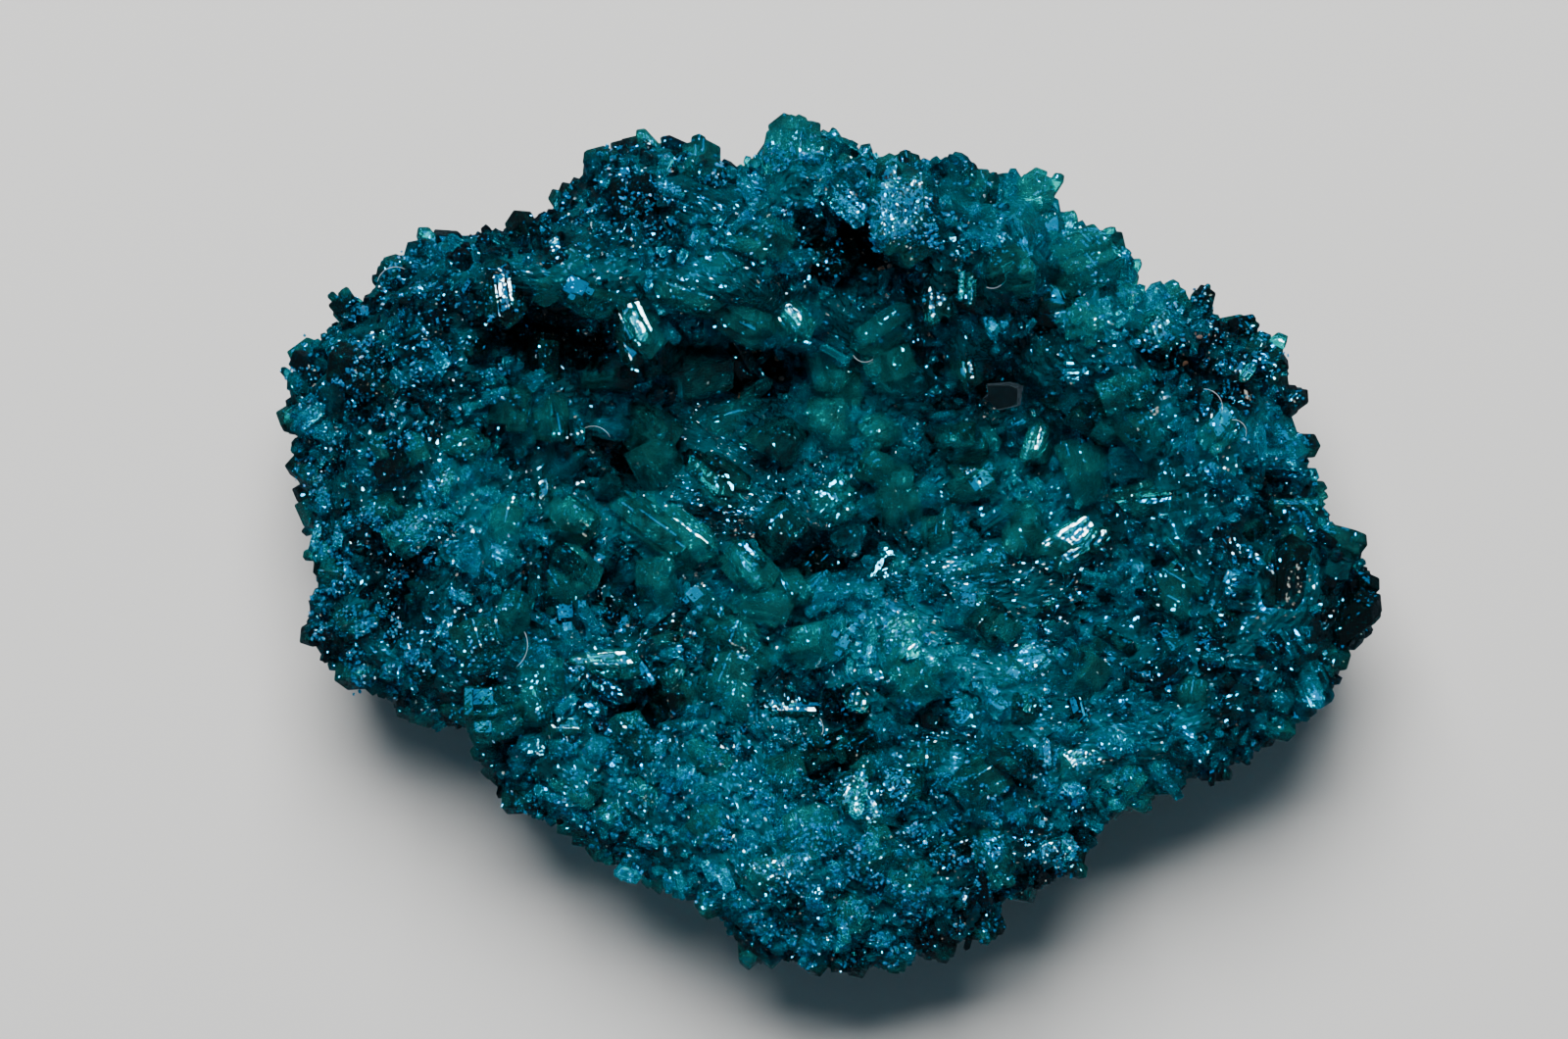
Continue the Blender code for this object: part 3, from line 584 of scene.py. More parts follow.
def druse_faces():
    """A group that tilts the normal cell by cell, as minute crystals on a face do.

    Each cell of a Voronoi pattern has its own random tilt. Its strength is Smooth where the noise and the
    druse attribute leave a face clean, and Rough where they don't and in one cell of seven. Cover is the share
    of druse.
    """
    group = bpy.data.node_groups.new("druse_faces", "ShaderNodeTree")
    group_socket(group, "Scale", "NodeSocketFloat", "INPUT", 7000.0)
    group_socket(group, "Smooth", "NodeSocketFloat", "INPUT", 0.05)
    group_socket(group, "Rough", "NodeSocketFloat", "INPUT", 0.9)
    group_socket(group, "Normal", "NodeSocketVector", "OUTPUT")
    group_socket(group, "Cover", "NodeSocketFloat", "OUTPUT")
    given = group.nodes.new("NodeGroupInput")
    result = group.nodes.new("NodeGroupOutput")
    place = group.nodes.new("ShaderNodeTexCoord").outputs["Object"]
    cells = add_node(group, "ShaderNodeTexVoronoi", Scale=7000.0)
    group.links.new(place, cells.inputs["Vector"])
    group.links.new(given.outputs["Scale"], cells.inputs["Scale"])
    patches = add_node(group, "ShaderNodeTexNoise", Scale=650.0, Detail=4.0, Roughness=0.6)
    group.links.new(place, patches.inputs["Vector"])
    druse = add_node(group, "ShaderNodeAttribute", attribute_name="druse").outputs["Fac"]
    level = math_node(group, "MULTIPLY_ADD", druse, 0.22, patches.outputs["Fac"])
    cover = map_node(group, level, 0.52, 0.66, 0.0, 1.0)
    spread = math_node(group, "SUBTRACT", given.outputs["Rough"], given.outputs["Smooth"])
    parts = add_node(group, "ShaderNodeSeparateXYZ")
    group.links.new(cells.outputs["Color"], parts.inputs["Vector"])
    specks = math_node(group, "GREATER_THAN", parts.outputs["Z"], 0.85)
    share = math_node(group, "MAXIMUM", cover, specks)
    strength = math_node(group, "MULTIPLY_ADD", share, spread, given.outputs["Smooth"])
    tilt = vector_node(group, "SUBTRACT", cells.outputs["Color"], (0.5, 0.5, 0.5))
    tilt = vector_node(group, "SCALE", tilt, scale=strength)
    facing = group.nodes.new("ShaderNodeNewGeometry").outputs["Normal"]
    tilted = vector_node(group, "NORMALIZE", vector_node(group, "ADD", facing, tilt))
    group.links.new(tilted, result.inputs["Normal"])
    group.links.new(cover, result.inputs["Cover"])
    return group


DRUSE_FACES = druse_faces()
crust_stone, tree, shader = new_material("crust_stone")
druse = add_node(tree, "ShaderNodeGroup", node_tree=DRUSE_FACES)
druse.inputs["Scale"].default_value = 6500.0
druse.inputs["Smooth"].default_value = 0.35
druse.inputs["Rough"].default_value = 0.8
tree.links.new(druse.outputs["Normal"], shader.inputs["Normal"])
place = add_node(tree, "ShaderNodeTexCoord").outputs["Object"]
patches = add_node(tree, "ShaderNodeTexNoise", Scale=420.0, Detail=6.0, Roughness=0.62)
tree.links.new(place, patches.inputs["Vector"])
teal = add_node(tree, "ShaderNodeValToRGB")
teal.color_ramp.elements[0].position = 0.38
teal.color_ramp.elements[0].color = (0.0, 0.006, 0.009, 1.0)
teal.color_ramp.elements[1].position = 0.80
teal.color_ramp.elements[1].color = (0.0, 0.11, 0.14, 1.0)
# The tone attribute carries painted light and shade, which the teal ramp turns into lighter and darker crust.
painted_light_and_shade = add_node(tree, "ShaderNodeAttribute", attribute_name="painted_light_and_tone").outputs["Fac"]
level = math_node(tree, "MULTIPLY_ADD", painted_light_and_shade, 0.16, patches.outputs["Fac"])
tree.links.new(level, teal.inputs["Fac"])
tree.links.new(teal.outputs["Color"], shader.inputs["Base Color"])
shader.inputs["Roughness"].default_value = 0.09
shader.inputs["IOR"].default_value = 1.67

grid = crust_grid()
low_point = np.array((0.0, 0.0, back_height(0.0, 0.0) + 0.05))
high_point = np.array((0.0, 0.0, top_height(0.0, 0.0)))
starts, corners = ring_faces(len(grid), AROUND)
points = np.concatenate((grid.reshape(-1, 3), high_point[None], low_point[None]))
crust = object_of("crust", points, starts, corners, crust_stone)
# Painted light and shade: the crust's tone is lighter in the light spots and darker deep in the pockets, where
# shade falls.
painted_light_and_shade = spots(PAINTED_LIGHT_AND_SHADE_SPOTS, points[:, 0], points[:, 1]) - 1.2 * hollow_at(points[:, 0], points[:, 1])
write_attribute(crust, "painted_light_and_tone", painted_light_and_shade)
write_attribute(crust, "druse", spots(DRUSES, points[:, 0], points[:, 1]))

HOLE_OUTLINE = np.array((
    (8.45, 6.17), (8.45, 6.86), (8.05, 7.03), (7.13, 7.01), (7.17, 6.60), (6.95, 6.43), (7.31, 6.25),
    (7.56, 5.96), (8.17, 6.08),
))
levels = np.array((16.0, 8.0, 4.6, -2.0))[:, None, None]
widen = np.array((1.7, 1.2, 1.0, 3.2))[:, None, None]
ring = np.array(HOLE) + (HOLE_OUTLINE - HOLE) * widen
tube = np.concatenate((ring, levels + 0.0 * ring[..., :1]), axis=-1)
starts, corners = ring_faces(len(levels), len(HOLE_OUTLINE))
ends = np.array(((HOLE[0], HOLE[1], 16.0), (HOLE[0], HOLE[1], -2.0)))
drill = object_of("drill", np.concatenate((tube.reshape(-1, 3), ends)), starts, corners, crust_stone)
drill_cut = crust.modifiers.new("hole", "BOOLEAN")
drill_cut.operation = "DIFFERENCE"
drill_cut.solver = "EXACT"
drill_cut.object = drill
bpy.context.view_layer.update()
pierced = bpy.data.meshes.new_from_object(crust.evaluated_get(bpy.context.evaluated_depsgraph_get()))
crust.modifiers.clear()
crust.data = pierced
bpy.data.objects.remove(drill, do_unlink=True)
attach(crust, "root")
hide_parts("dioptase_cluster")

# The finish of the larger crystals. They are clear glass-like stone: light goes in through flat faces that
# carry fine lengthwise grooves and pits, is taken up on the way, and comes back blue-green.

SIDE = [(i, (i + 1) % 6, 6 + (i + 1) % 6, 6 + i) for i in range(6)]
NEAR_END = [(13, 6 + (i - 1) % 6, 6 + i, 6 + (i + 1) % 6) for i in (0, 2, 4)]
FAR_END = [(12, (i + 2) % 6, (i + 1) % 6, i) for i in (0, 2, 4)]
PRISM_FACES = np.array(SIDE + NEAR_END + FAR_END)
def prism_uv(length, width):
    """Millimetres round and along a prism's sides, and millimetres across and down its end faces."""
    radius = width[:, None] / 2.0
    drop = END_SLOPE * radius * np.where(np.arange(6) % 2 == 0, 1.0, 0.5)
    top = length[:, None] - drop
    foot = END_SLOPE * radius * np.where(np.arange(6) % 2 == 0, 0.5, 1.0)
    i = np.arange(6)
    j = (i + 1) % 6
    around = np.stack((i, i + 1, i + 1, i), axis=-1) * radius[..., None]
    along = np.stack((foot, foot[:, j], top[:, j], top), axis=-1)
    ends_u = np.array((0.0, -1.0, 0.0, 1.0)) * radius[..., None] * np.ones((1, 6, 1))
    ends_v = np.array((0.0, 0.8, 1.6, 0.8)) * radius[..., None] * np.ones((1, 6, 1))
    u = np.concatenate((around, ends_u), axis=1)
    v = np.concatenate((along, ends_v), axis=1)
    return np.stack((u, v), axis=-1).reshape(-1, 2)


def crystals_object(name, crystals, material, rng, painted_shade_shift=0.0):
    """One object of many prisms. Each has its own tone with painted light and shade, and druse, and its
    millimetres are the UV map.

    The tone is a random share, plus painted light in the light spots, less painted shade deep in the pockets,
    plus a random level shared by clumps.
    """
    middle, axis, length, width, spin = crystals
    points = crystal_corners(middle, axis, length, width, spin)
    count = len(points)
    corners = (PRISM_FACES[None] + 14 * np.arange(count)[:, None, None]).ravel()
    made = object_of(name, points.reshape(-1, 3), np.arange(0, len(corners), 4), corners, material)
    # Painted light and shade in the tone: lighter in the light spots, darker deep in the pockets, and darker on
    # the edge crystals by the shift.
    painted_light_and_tone = rng.uniform(-0.1, 0.45, count) + 0.7 * spots(PAINTED_LIGHT_AND_SHADE_SPOTS, middle[:, 0], middle[:, 1])
    painted_light_and_tone = painted_light_and_tone + painted_shade_shift - 0.4 * hollow_at(middle[:, 0], middle[:, 1])
    painted_light_and_tone = painted_light_and_tone + 0.5 * facets(middle[:, 0], middle[:, 1], 2.3, 50)
    write_attribute(made, "painted_light_and_tone", np.repeat(painted_light_and_tone, 14))
    write_attribute(made, "druse", np.repeat(spots(DRUSES, middle[:, 0], middle[:, 1]), 14))
    layer = made.data.uv_layers.new(name="faces")
    layer.data.foreach_set("uv", prism_uv(length, width).astype(np.float32).ravel())
    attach(made, "root")
    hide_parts("dioptase_cluster")
    return made


def grooved_faces():
    """A group that tilts a given normal in long narrow steps, as the grooves along a crystal do.

    The steps are the cells of a Voronoi pattern on the UV map, drawn out along the crystal, each with its
    own random tilt.
    """
    group = bpy.data.node_groups.new("grooved_faces", "ShaderNodeTree")
    group_socket(group, "Strength", "NodeSocketFloat", "INPUT", 0.2)
    group_socket(group, "Normal", "NodeSocketVector", "INPUT")
    group_socket(group, "Normal", "NodeSocketVector", "OUTPUT")
    given = group.nodes.new("NodeGroupInput")
    result = group.nodes.new("NodeGroupOutput")
    faces = add_node(group, "ShaderNodeUVMap", uv_map="faces")
    drawn = add_node(group, "ShaderNodeMapping", Scale=(6.0, 0.7, 1.0))
    group.links.new(faces.outputs["UV"], drawn.inputs["Vector"])
    steps = add_node(group, "ShaderNodeTexVoronoi", Scale=1.0)
    group.links.new(drawn.outputs["Vector"], steps.inputs["Vector"])
    tilt = vector_node(group, "SUBTRACT", steps.outputs["Color"], (0.5, 0.5, 0.5))
    tilt = vector_node(group, "SCALE", tilt, scale=given.outputs["Strength"])
    tilted = vector_node(group, "NORMALIZE", vector_node(group, "ADD", given.outputs["Normal"], tilt))
    group.links.new(tilted, result.inputs["Normal"])
    return group


GROOVED_FACES = grooved_faces()


def crystal_material(name, dark, light, bright, rough, transmission, grooves, cells, tilts):
    """Crystal stone: colour runs from dark to bright by clouds and by the tone, which carries painted light and
    shade; druse tilts and dulls it.
    """
    material, tree, shader = new_material(name)
    druse = add_node(tree, "ShaderNodeGroup", node_tree=DRUSE_FACES)
    druse.inputs["Scale"].default_value = cells
    druse.inputs["Smooth"].default_value = tilts[0]
    druse.inputs["Rough"].default_value = tilts[1]
    faces = add_node(tree, "ShaderNodeGroup", node_tree=GROOVED_FACES)
    faces.inputs["Strength"].default_value = grooves
    tree.links.new(druse.outputs["Normal"], faces.inputs["Normal"])
    tree.links.new(faces.outputs["Normal"], shader.inputs["Normal"])
    place = tree.nodes.new("ShaderNodeTexCoord").outputs["Object"]
    clouds = add_node(tree, "ShaderNodeTexNoise", Scale=1500.0, Detail=5.0, Roughness=0.62)
    tree.links.new(place, clouds.inputs["Vector"])
    painted_light_and_tone = add_node(tree, "ShaderNodeAttribute", attribute_name="painted_light_and_tone").outputs["Fac"]
    blend = math_node(tree, "MULTIPLY_ADD", clouds.outputs["Fac"], 1.3, painted_light_and_tone)
    blend = math_node(tree, "MULTIPLY", blend, 0.5)
    ramp = add_node(tree, "ShaderNodeValToRGB")
    ramp.color_ramp.elements[0].position = 0.28
    ramp.color_ramp.elements[0].color = (*dark, 1.0)
    ramp.color_ramp.elements[1].position = 0.52
    ramp.color_ramp.elements[1].color = (*light, 1.0)
    ramp.color_ramp.elements.new(0.85).color = (*bright, 1.0)
    tree.links.new(blend, ramp.inputs["Fac"])
    tree.links.new(ramp.outputs["Color"], shader.inputs["Base Color"])
    rough = map_node(tree, druse.outputs["Cover"], 0.0, 1.0, rough[0], rough[1])
    tree.links.new(rough, shader.inputs["Roughness"])
    shader.inputs["IOR"].default_value = 1.67
    shader.inputs["Transmission Weight"].default_value = transmission
    return material


clear_stone = crystal_material(
    "clear_stone", (0.0, 0.04, 0.04), (0.0, 0.72, 0.68), (0.0, 1.0, 0.90), (0.02, 0.07), 0.94, 0.12, 9000.0,
    (0.03, 0.6))
absorption = add_node(clear_stone.node_tree, "ShaderNodeVolumeAbsorption", Density=420.0)
absorption.inputs["Color"].default_value = (0.0, 0.74, 0.78, 1.0)
output = clear_stone.node_tree.nodes["Material Output"]
clear_stone.node_tree.links.new(absorption.outputs["Volume"], output.inputs["Volume"])


def companions(crystals, count, slim, away, rng):
    """Slimmer prisms that grew side by side with each crystal, nearly parallel to it and mostly shorter."""
    middle, axis, length, width, spin = [np.repeat(column, count, axis=0) for column in crystals]
    total = len(width)
    aside = np.cross(axis, rng.normal(size=axis.shape))
    aside = aside / np.linalg.norm(aside, axis=1, keepdims=True)
    share = rng.uniform(0.55, 0.98, total)
    slide = length * rng.uniform(-0.22, 0.16, total)
    middle = middle + aside * (width * rng.uniform(*away, total))[:, None] + axis * slide[:, None]
    axis = axis + aside * rng.uniform(-0.02, 0.09, total)[:, None]
    axis = axis / np.linalg.norm(axis, axis=1, keepdims=True)
    return [middle, axis, length * share, width * rng.uniform(*slim, total), spin]


def inside_box(crystals):
    """Which crystals have every corner inside the specimen's box."""
    corners = crystal_corners(*crystals)
    low = corners >= plate_low * (1.0, 1.0, 0.0) + (0.0, 0.0, 0.05)
    return np.all(low & (corners <= plate_high), axis=(1, 2))


def chosen(crystals, mask):
    return [column[mask] for column in crystals]


def fitting(crystals):
    """The crystals that stay in the specimen's box and keep off the hole."""
    return chosen(crystals, inside_box(crystals) & clear_of_hole(*crystals[:4]))


def joined(*groups):
    return [np.concatenate(columns) for columns in zip(*groups)]


BRIGHT = (
    (-13.9, 10.9), (-8.2, 9.6), (-9.4, -5.2), (11.2, 0.4), (1.3, -6.9), (1.9, -11.7), (9.5, 4.4),
    (20.4, 1.4), (-11.4, -8.0), (5.0, 11.2), (14.4, 9.3), (15.3, 0.0), (-12.3, 2.6), (3.4, 14.3),
    (-2.1, -14.4), (-1.5, -7.3), (-18.4, 8.7), (6.1, 7.9), (10.9, -9.6), (-15.7, -7.2),
)
KEY_PLACE = (60.0, 300.0, 400.0)
CAMERA_PLACE = (-2.0, 1.3, 400.0)


def catching_light(crystals, places):
    """The crystals nearest to the places, turned so that a side face mirrors the key light to the camera.

    A face does so when its normal halves the angle between light and camera. The axis loses its part along
    that normal, and the spin brings a side face round to it.
    """
    middle, axis, length, width, spin = [column.copy() for column in crystals]
    gaps = np.hypot(*(middle[:, None, :2] - np.array(places)[None]).transpose(2, 0, 1))
    lit = np.argmin(gaps, axis=0)
    to_light = np.array(KEY_PLACE) - middle[lit]
    to_camera = np.array(CAMERA_PLACE) - middle[lit]
    to_light = to_light / np.linalg.norm(to_light, axis=1, keepdims=True)
    to_camera = to_camera / np.linalg.norm(to_camera, axis=1, keepdims=True)
    half = to_light + to_camera
    half = half / np.linalg.norm(half, axis=1, keepdims=True)
    turned = axis[lit] - half * (axis[lit] * half).sum(axis=1, keepdims=True)
    axis[lit] = turned / np.linalg.norm(turned, axis=1, keepdims=True)
    side = np.array((0.0, 0.0, 1.0)) - axis[lit] * axis[lit][:, 2:3]
    side = side / np.linalg.norm(side, axis=1, keepdims=True)
    across = np.cross(side, axis[lit])
    spin[lit] = np.degrees(np.arctan2((half * side).sum(axis=1), (half * across).sum(axis=1))) - 30.0
    return [middle, axis, length, width, spin]


FLASHES = (
    (9.3, 4.6, 2.1, 0.8, 72.0), (1.2, -6.8, 1.3, 0.8, 80.0), (1.0, -10.9, 2.2, 1.0, 82.0),
    (-3.0, 6.8, 1.9, 0.7, 38.0), (17.8, 7.6, 1.3, 0.7, 60.0), (3.8, -4.6, 1.1, 0.8, 70.0),
    (11.9, 0.2, 1.6, 0.7, 55.0), (-0.2, 5.6, 1.0, 0.7, 30.0), (14.2, -2.0, 1.5, 0.6, 110.0),
    (-16.4, 2.8, 1.4, 0.6, 75.0), (-6.4, -5.6, 1.2, 0.6, 70.0), (6.2, 11.0, 1.8, 0.6, 85.0),
)


def flash_crystals(table, lift):
    """Small crystals that lie on the others, from rows of x, y, length, width and heading."""
    x, y, length, width, heading = np.array(table).T
    middle = np.stack((x, y, top_height(x, y) + lift), axis=-1)
    return [middle, direction(heading, 10.0), length, width, 0.0 * x]


large = catching_light(large, BRIGHT)
rng = np.random.default_rng(21)
flashes = catching_light(flash_crystals(FLASHES, 1.1), [row[:2] for row in FLASHES])
flashes = joined(flashes, fitting(companions(flashes, 3, (0.4, 0.8), (0.4, 0.7), rng)))
clear_crystals = joined(large, fitting(companions(large, 4, (0.3, 0.62), (0.18, 0.42), rng)), flashes)
clear = crystals_object("clear_crystals", clear_crystals, clear_stone, rng)
edges = clear.modifiers.new("worn edges", "BEVEL")
edges.width = 0.05 * MM
edges.segments = 1
edges.limit_method = "NONE"

# The crowd of smaller crystals between the large ones. They are the same stone in every size down to
# sugar. They stand in bundles, rooted in the crust, each bundle leaning its own way.

crowd_stone = crystal_material(
    "crowd_stone", (0.0, 0.02, 0.028), (0.0, 0.64, 0.76), (0.0, 1.0, 0.96), (0.02, 0.08), 0.94, 0.10, 11000.0,
    (0.04, 0.6))


def lattice(step, seed, low_share, high_share):
    """Places on a triangular lattice, each pushed aside, between two shares of the way out."""
    rng = np.random.default_rng(seed)
    reach = int(28.0 / step)
    column, row = np.meshgrid(np.arange(-reach, reach + 1), np.arange(-reach, reach + 1))
    x = step * (column + 0.5 * (row % 2)) + rng.uniform(-0.45, 0.45, row.shape) * step
    y = step * 0.866 * row + rng.uniform(-0.45, 0.45, row.shape) * step
    share = share_at(x, y)
    inside = (share > low_share) & (share < high_share)
    return x[inside], y[inside]


def grown(x, y, height, out, width, slender, lean, stand, rng):
    """Crystals at places on a surface: each axis is the surface's normal, pushed over by its lean.

    out is 1 for the top and -1 for the back. stand is how far the middle is above the surface, as a share
    of the length.
    """
    count = len(x)
    heading = rng.uniform(0.0, 360.0, count)
    lean = rng.uniform(*lean, count)
    axis = out * normal_at(height, x, y) + direction(heading, 0.0) * lean[:, None]
    axis = axis / np.linalg.norm(axis, axis=1, keepdims=True)
    width = width[0] + (width[1] - width[0]) * rng.uniform(0.0, 1.0, count) ** 1.8
    length = width * rng.uniform(*slender, count)
    middle = np.stack((x, y, height(x, y)), axis=-1) + axis * (length * rng.uniform(*stand, count))[:, None]
    return [middle, axis, length, width, rng.uniform(0.0, 60.0, count)]


def showing(crystals, bigger, slack):
    """Which crystals have their upper half outside all the bigger ones."""
    tip = crystals[0] + crystals[1] * crystals[2][:, None] * 0.35
    hidden = np.zeros(len(tip), bool)
    for middle, axis, length, width in zip(*bigger[:4]):
        near = np.flatnonzero(np.abs(tip - middle).max(axis=1) < 0.5 * length + width)
        gap = tip[near] - middle
        along = gap @ axis
        away = np.sqrt(np.maximum(0.0, (gap * gap).sum(axis=1) - along * along))
        hidden[near] |= (away < width * 0.5 * slack) & (np.abs(along) < length * 0.5 * slack)
    return ~hidden


def uncovering(crystals, bigger):
    """Which crystals don't lie over the bigger ones, as seen from above."""
    middle, axis, length = crystals[:3]
    ends = np.stack((middle, middle + axis * length[:, None] * 0.45, middle - axis * length[:, None] * 0.2))
    covering = np.zeros(len(length), bool)
    for spot, way, long, broad in zip(*bigger[:4]):
        flat = np.hypot(way[0], way[1])
        u = ((ends - spot)[..., :2] @ way[:2]) / flat
        v = (ends - spot)[..., 0] * way[1] / flat - (ends - spot)[..., 1] * way[0] / flat
        over = (np.abs(u) < (long * flat + broad * abs(way[2])) * 0.46) & (np.abs(v) < broad * 0.5)
        covering |= np.any(over & (ends[..., 2] > spot[2]), axis=0)
    return ~covering


def crowd(step, seed, width, slender, lean, stand, bigger):
    """The crystals of one size on the upper side that show, stay in the box and keep off the hole."""
    rng = np.random.default_rng(seed)
    x, y = lattice(step, seed, 0.0, 0.99)
    made = fitting(grown(x, y, top_height, 1.0, width, slender, lean, stand, rng))
    return chosen(made, showing(made, bigger, 0.85))


middling = crowd(1.6, 31, (0.6, 1.3), (1.3, 2.4), (0.3, 2.4), (0.02, 0.16), large)
middling = chosen(middling, hollow_at(middling[0][:, 0], middling[0][:, 1]) < 0.45)
clean = chosen(middling, middling[3] > 0.75)
middling = joined(middling, fitting(companions(middling, 5, (0.3, 0.66), (0.25, 0.75), rng)))
smaller = crowd(0.95, 32, (0.32, 0.72), (1.3, 2.5), (0.2, 2.4), (0.04, 0.22), large)
smaller = joined(smaller, fitting(companions(smaller, 2, (0.35, 0.7), (0.3, 0.8), rng)))
shown = joined([column[:len(CRYSTALS)] for column in large], flashes)
middling = chosen(middling, uncovering(middling, shown))
shown = joined(shown, clean)
smaller = chosen(smaller, uncovering(smaller, shown))
fine = crowd(0.52, 33, (0.18, 0.42), (1.2, 3.0), (0.1, 2.0), (0.10, 0.30), joined(large, middling))
fine = chosen(fine, uncovering(fine, shown))
for name, group in (("middling_crystals", middling), ("smaller_crystals", smaller), ("fine_crystals", fine)):
    crystals_object(name, group, crowd_stone, rng)

# The crystals on the edge and on the back. They grew outwards and down where the crust was free of the
# rock, in the same sizes as above, and stop at the flat cut.



def edge_crowd(count, shares, widths, rng):
    """Crystals on the band between top and back, pointing outwards, the upper ones up and the lower down."""
    angle = rng.uniform(0.0, 360.0, count)
    x, y = point_at(angle, rng.uniform(*shares, count))
    low = back_height(x, y)
    level = rng.uniform(-0.05, 1.0, count)
    z = low + (top_height(x, y) - low) * level
    tilt = 70.0 * (level - 0.5) + rng.uniform(-30.0, 30.0, count)
    axis = direction(angle + rng.uniform(-50.0, 50.0, count), tilt)
    width = widths[0] + (widths[1] - widths[0]) * rng.uniform(0.0, 1.0, count) ** 1.6
    length = width * rng.uniform(1.6, 3.0, count)
    return [np.stack((x, y, z), axis=-1), axis, length, width, rng.uniform(0.0, 60.0, count)]


def under_crowd(step, seed, width, slender, lean, stand):
    """Crystals of one size on the rising back."""
    rng = np.random.default_rng(seed)
    x, y = lattice(step, seed, 0.40, 0.98)
    made = grown(x, y, back_height, -1.0, width, slender, lean, stand, rng)
    free = smooth(0.4, 1.6, back_height(x, y)) > rng.uniform(0.0, 1.0, len(x))
    return fitting(chosen(made, free))


edge = fitting(edge_crowd(1100, (0.90, 0.985), (0.30, 0.95), rng))
edge = joined(edge, fitting(companions(edge, 2, (0.35, 0.7), (0.3, 0.7), rng)))
edge = joined(edge, fitting(edge_crowd(3600, (0.965, 0.992), (0.24, 0.52), rng)))
edge = chosen(edge, showing(edge, large, 0.85))
under = under_crowd(1.6, 41, (0.6, 1.5), (1.4, 2.6), (0.3, 1.8), (0.02, 0.2))
under = joined(under, fitting(companions(under, 4, (0.3, 0.66), (0.25, 0.75), rng)))
under = joined(under, under_crowd(0.8, 42, (0.3, 0.7), (1.4, 2.8), (0.2, 2.0), (0.06, 0.25)))
# Painted shade: the edge crystals' tone is lowered by 0.1, so they are darker at the silhouette.
crystals_object("edge_crystals", edge, crowd_stone, rng, -0.1)
crystals_object("back_crystals", under, crowd_stone, rng)
# The druse: a frost of minute rhombohedra that settled last, on the upper faces of the crystals near the
# rim. It is the same stone, but so fine that it looks hazy and lighter; its light blue colour is partly that and
# partly a painted sheen of reflected blue light.

DRUSE_COUNT = 11000
DRUSE_SIZE = (0.06, 0.17)


def rhombs(place, axis, radius, spin):
    """Rhombohedra as prisms of no length: the two tips, three upper and three lower corners a piece.

    The corners stand at the radius from the axis, every 60 degrees, a third of the tip's height up or down.
    """
    turn = np.radians(60.0 * np.arange(6) + spin[:, None])
    upright = np.array((0.0, 0.0, 1.0))
    side = upright - axis * axis[:, 2:3]
    side = side / np.linalg.norm(side, axis=1, keepdims=True)
    across = np.cross(side, axis)
    tip = 1.5 * END_SLOPE * radius
    level = np.where(np.arange(6) % 2 == 0, 1.0, -1.0) / 3.0 * tip[:, None]
    spoke = across[:, None] * np.cos(turn)[..., None] + side[:, None] * np.sin(turn)[..., None]
    ring = place[:, None] + spoke * radius[:, None, None] + axis[:, None] * level[..., None]
    ends = np.stack((place - axis * tip[:, None], place + axis * tip[:, None]), axis=1)
    return np.concatenate((ring, ends), axis=1)


RHOMB_FACES = np.array(
    [(7, i, (i + 1) % 6, (i + 2) % 6) for i in (0, 2, 4)] + [(6, (i + 2) % 6, (i + 1) % 6, i) for i in (1, 3, 5)])


def on_faces(crystals, count, rng):
    """Places on upward side faces of crystals in the druse zones: (places, outward normals)."""
    middle, axis, length, width, spin = crystals
    zone = spots(DRUSES, middle[:, 0], middle[:, 1])
    picked = rng.choice(len(width), count * 4, p=zone * width * length / (zone * width * length).sum())
    middle, axis, length, width, spin = [column[picked] for column in crystals]
    turn = np.radians(spin + 30.0 + 60.0 * rng.integers(0, 6, len(picked)))
    upright = np.array((0.0, 0.0, 1.0))
    side = upright - axis * axis[:, 2:3]
    side = side / np.linalg.norm(side, axis=1, keepdims=True)
    across = np.cross(side, axis)
    normal = across * np.cos(turn)[:, None] + side * np.sin(turn)[:, None]
    beside = np.cross(axis, normal)
    place = middle + axis * (length * rng.uniform(-0.15, 0.36, len(picked)))[:, None]
    place = place + normal * (width * 0.433)[:, None] + beside * (width * rng.uniform(-0.24, 0.24, len(picked)))[:, None]
    open_sky = (normal[:, 2] > 0.25) & (place[:, 2] > top_height(place[:, 0], place[:, 1]) + 0.05)
    return place[open_sky][:count], normal[open_sky][:count]


# Painted sheen: part of the druse's light blue colour stands in for the blue lamps' reflection on its minute
# faces.
druse_stone_with_painted_sheen = crystal_material(
    "druse_stone_with_painted_sheen", (0.0, 0.12, 0.22), (0.01, 0.36, 0.64), (0.04, 0.52, 0.88), (0.12, 0.22), 0.6, 0.0, 14000.0,
    (0.1, 0.5))
place, normal = on_faces(joined(clear_crystals, middling, smaller), DRUSE_COUNT, rng)
axis = normal + rng.normal(size=normal.shape) * 0.45
axis = axis / np.linalg.norm(axis, axis=1, keepdims=True)
radius = rng.uniform(*DRUSE_SIZE, len(place)) / 2.0
points = rhombs(place, axis, radius, rng.uniform(0.0, 120.0, len(place)))
inside = np.all((points > (*plate_low[:2], 0.05)) & (points < plate_high), axis=(1, 2))
points = points[inside]
corners = (RHOMB_FACES[None] + 8 * np.arange(len(points))[:, None, None]).ravel()
druse = object_of("druse", points.reshape(-1, 3), np.arange(0, len(corners), 4), corners, druse_stone_with_painted_sheen)
write_attribute(druse, "painted_light_and_tone", np.repeat(rng.uniform(0.0, 0.7, len(points)), 8))
write_attribute(druse, "druse", np.full(8 * len(points), 0.5))
druse.data.uv_layers.new(name="faces")
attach(druse, "root")
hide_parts("dioptase_cluster")

# Crumbs of the rock. The plate tore off the pocket's wall, and rusty brown grains of it still stick to the
# back and the lower edge, with a few fallen into the deepest pockets.

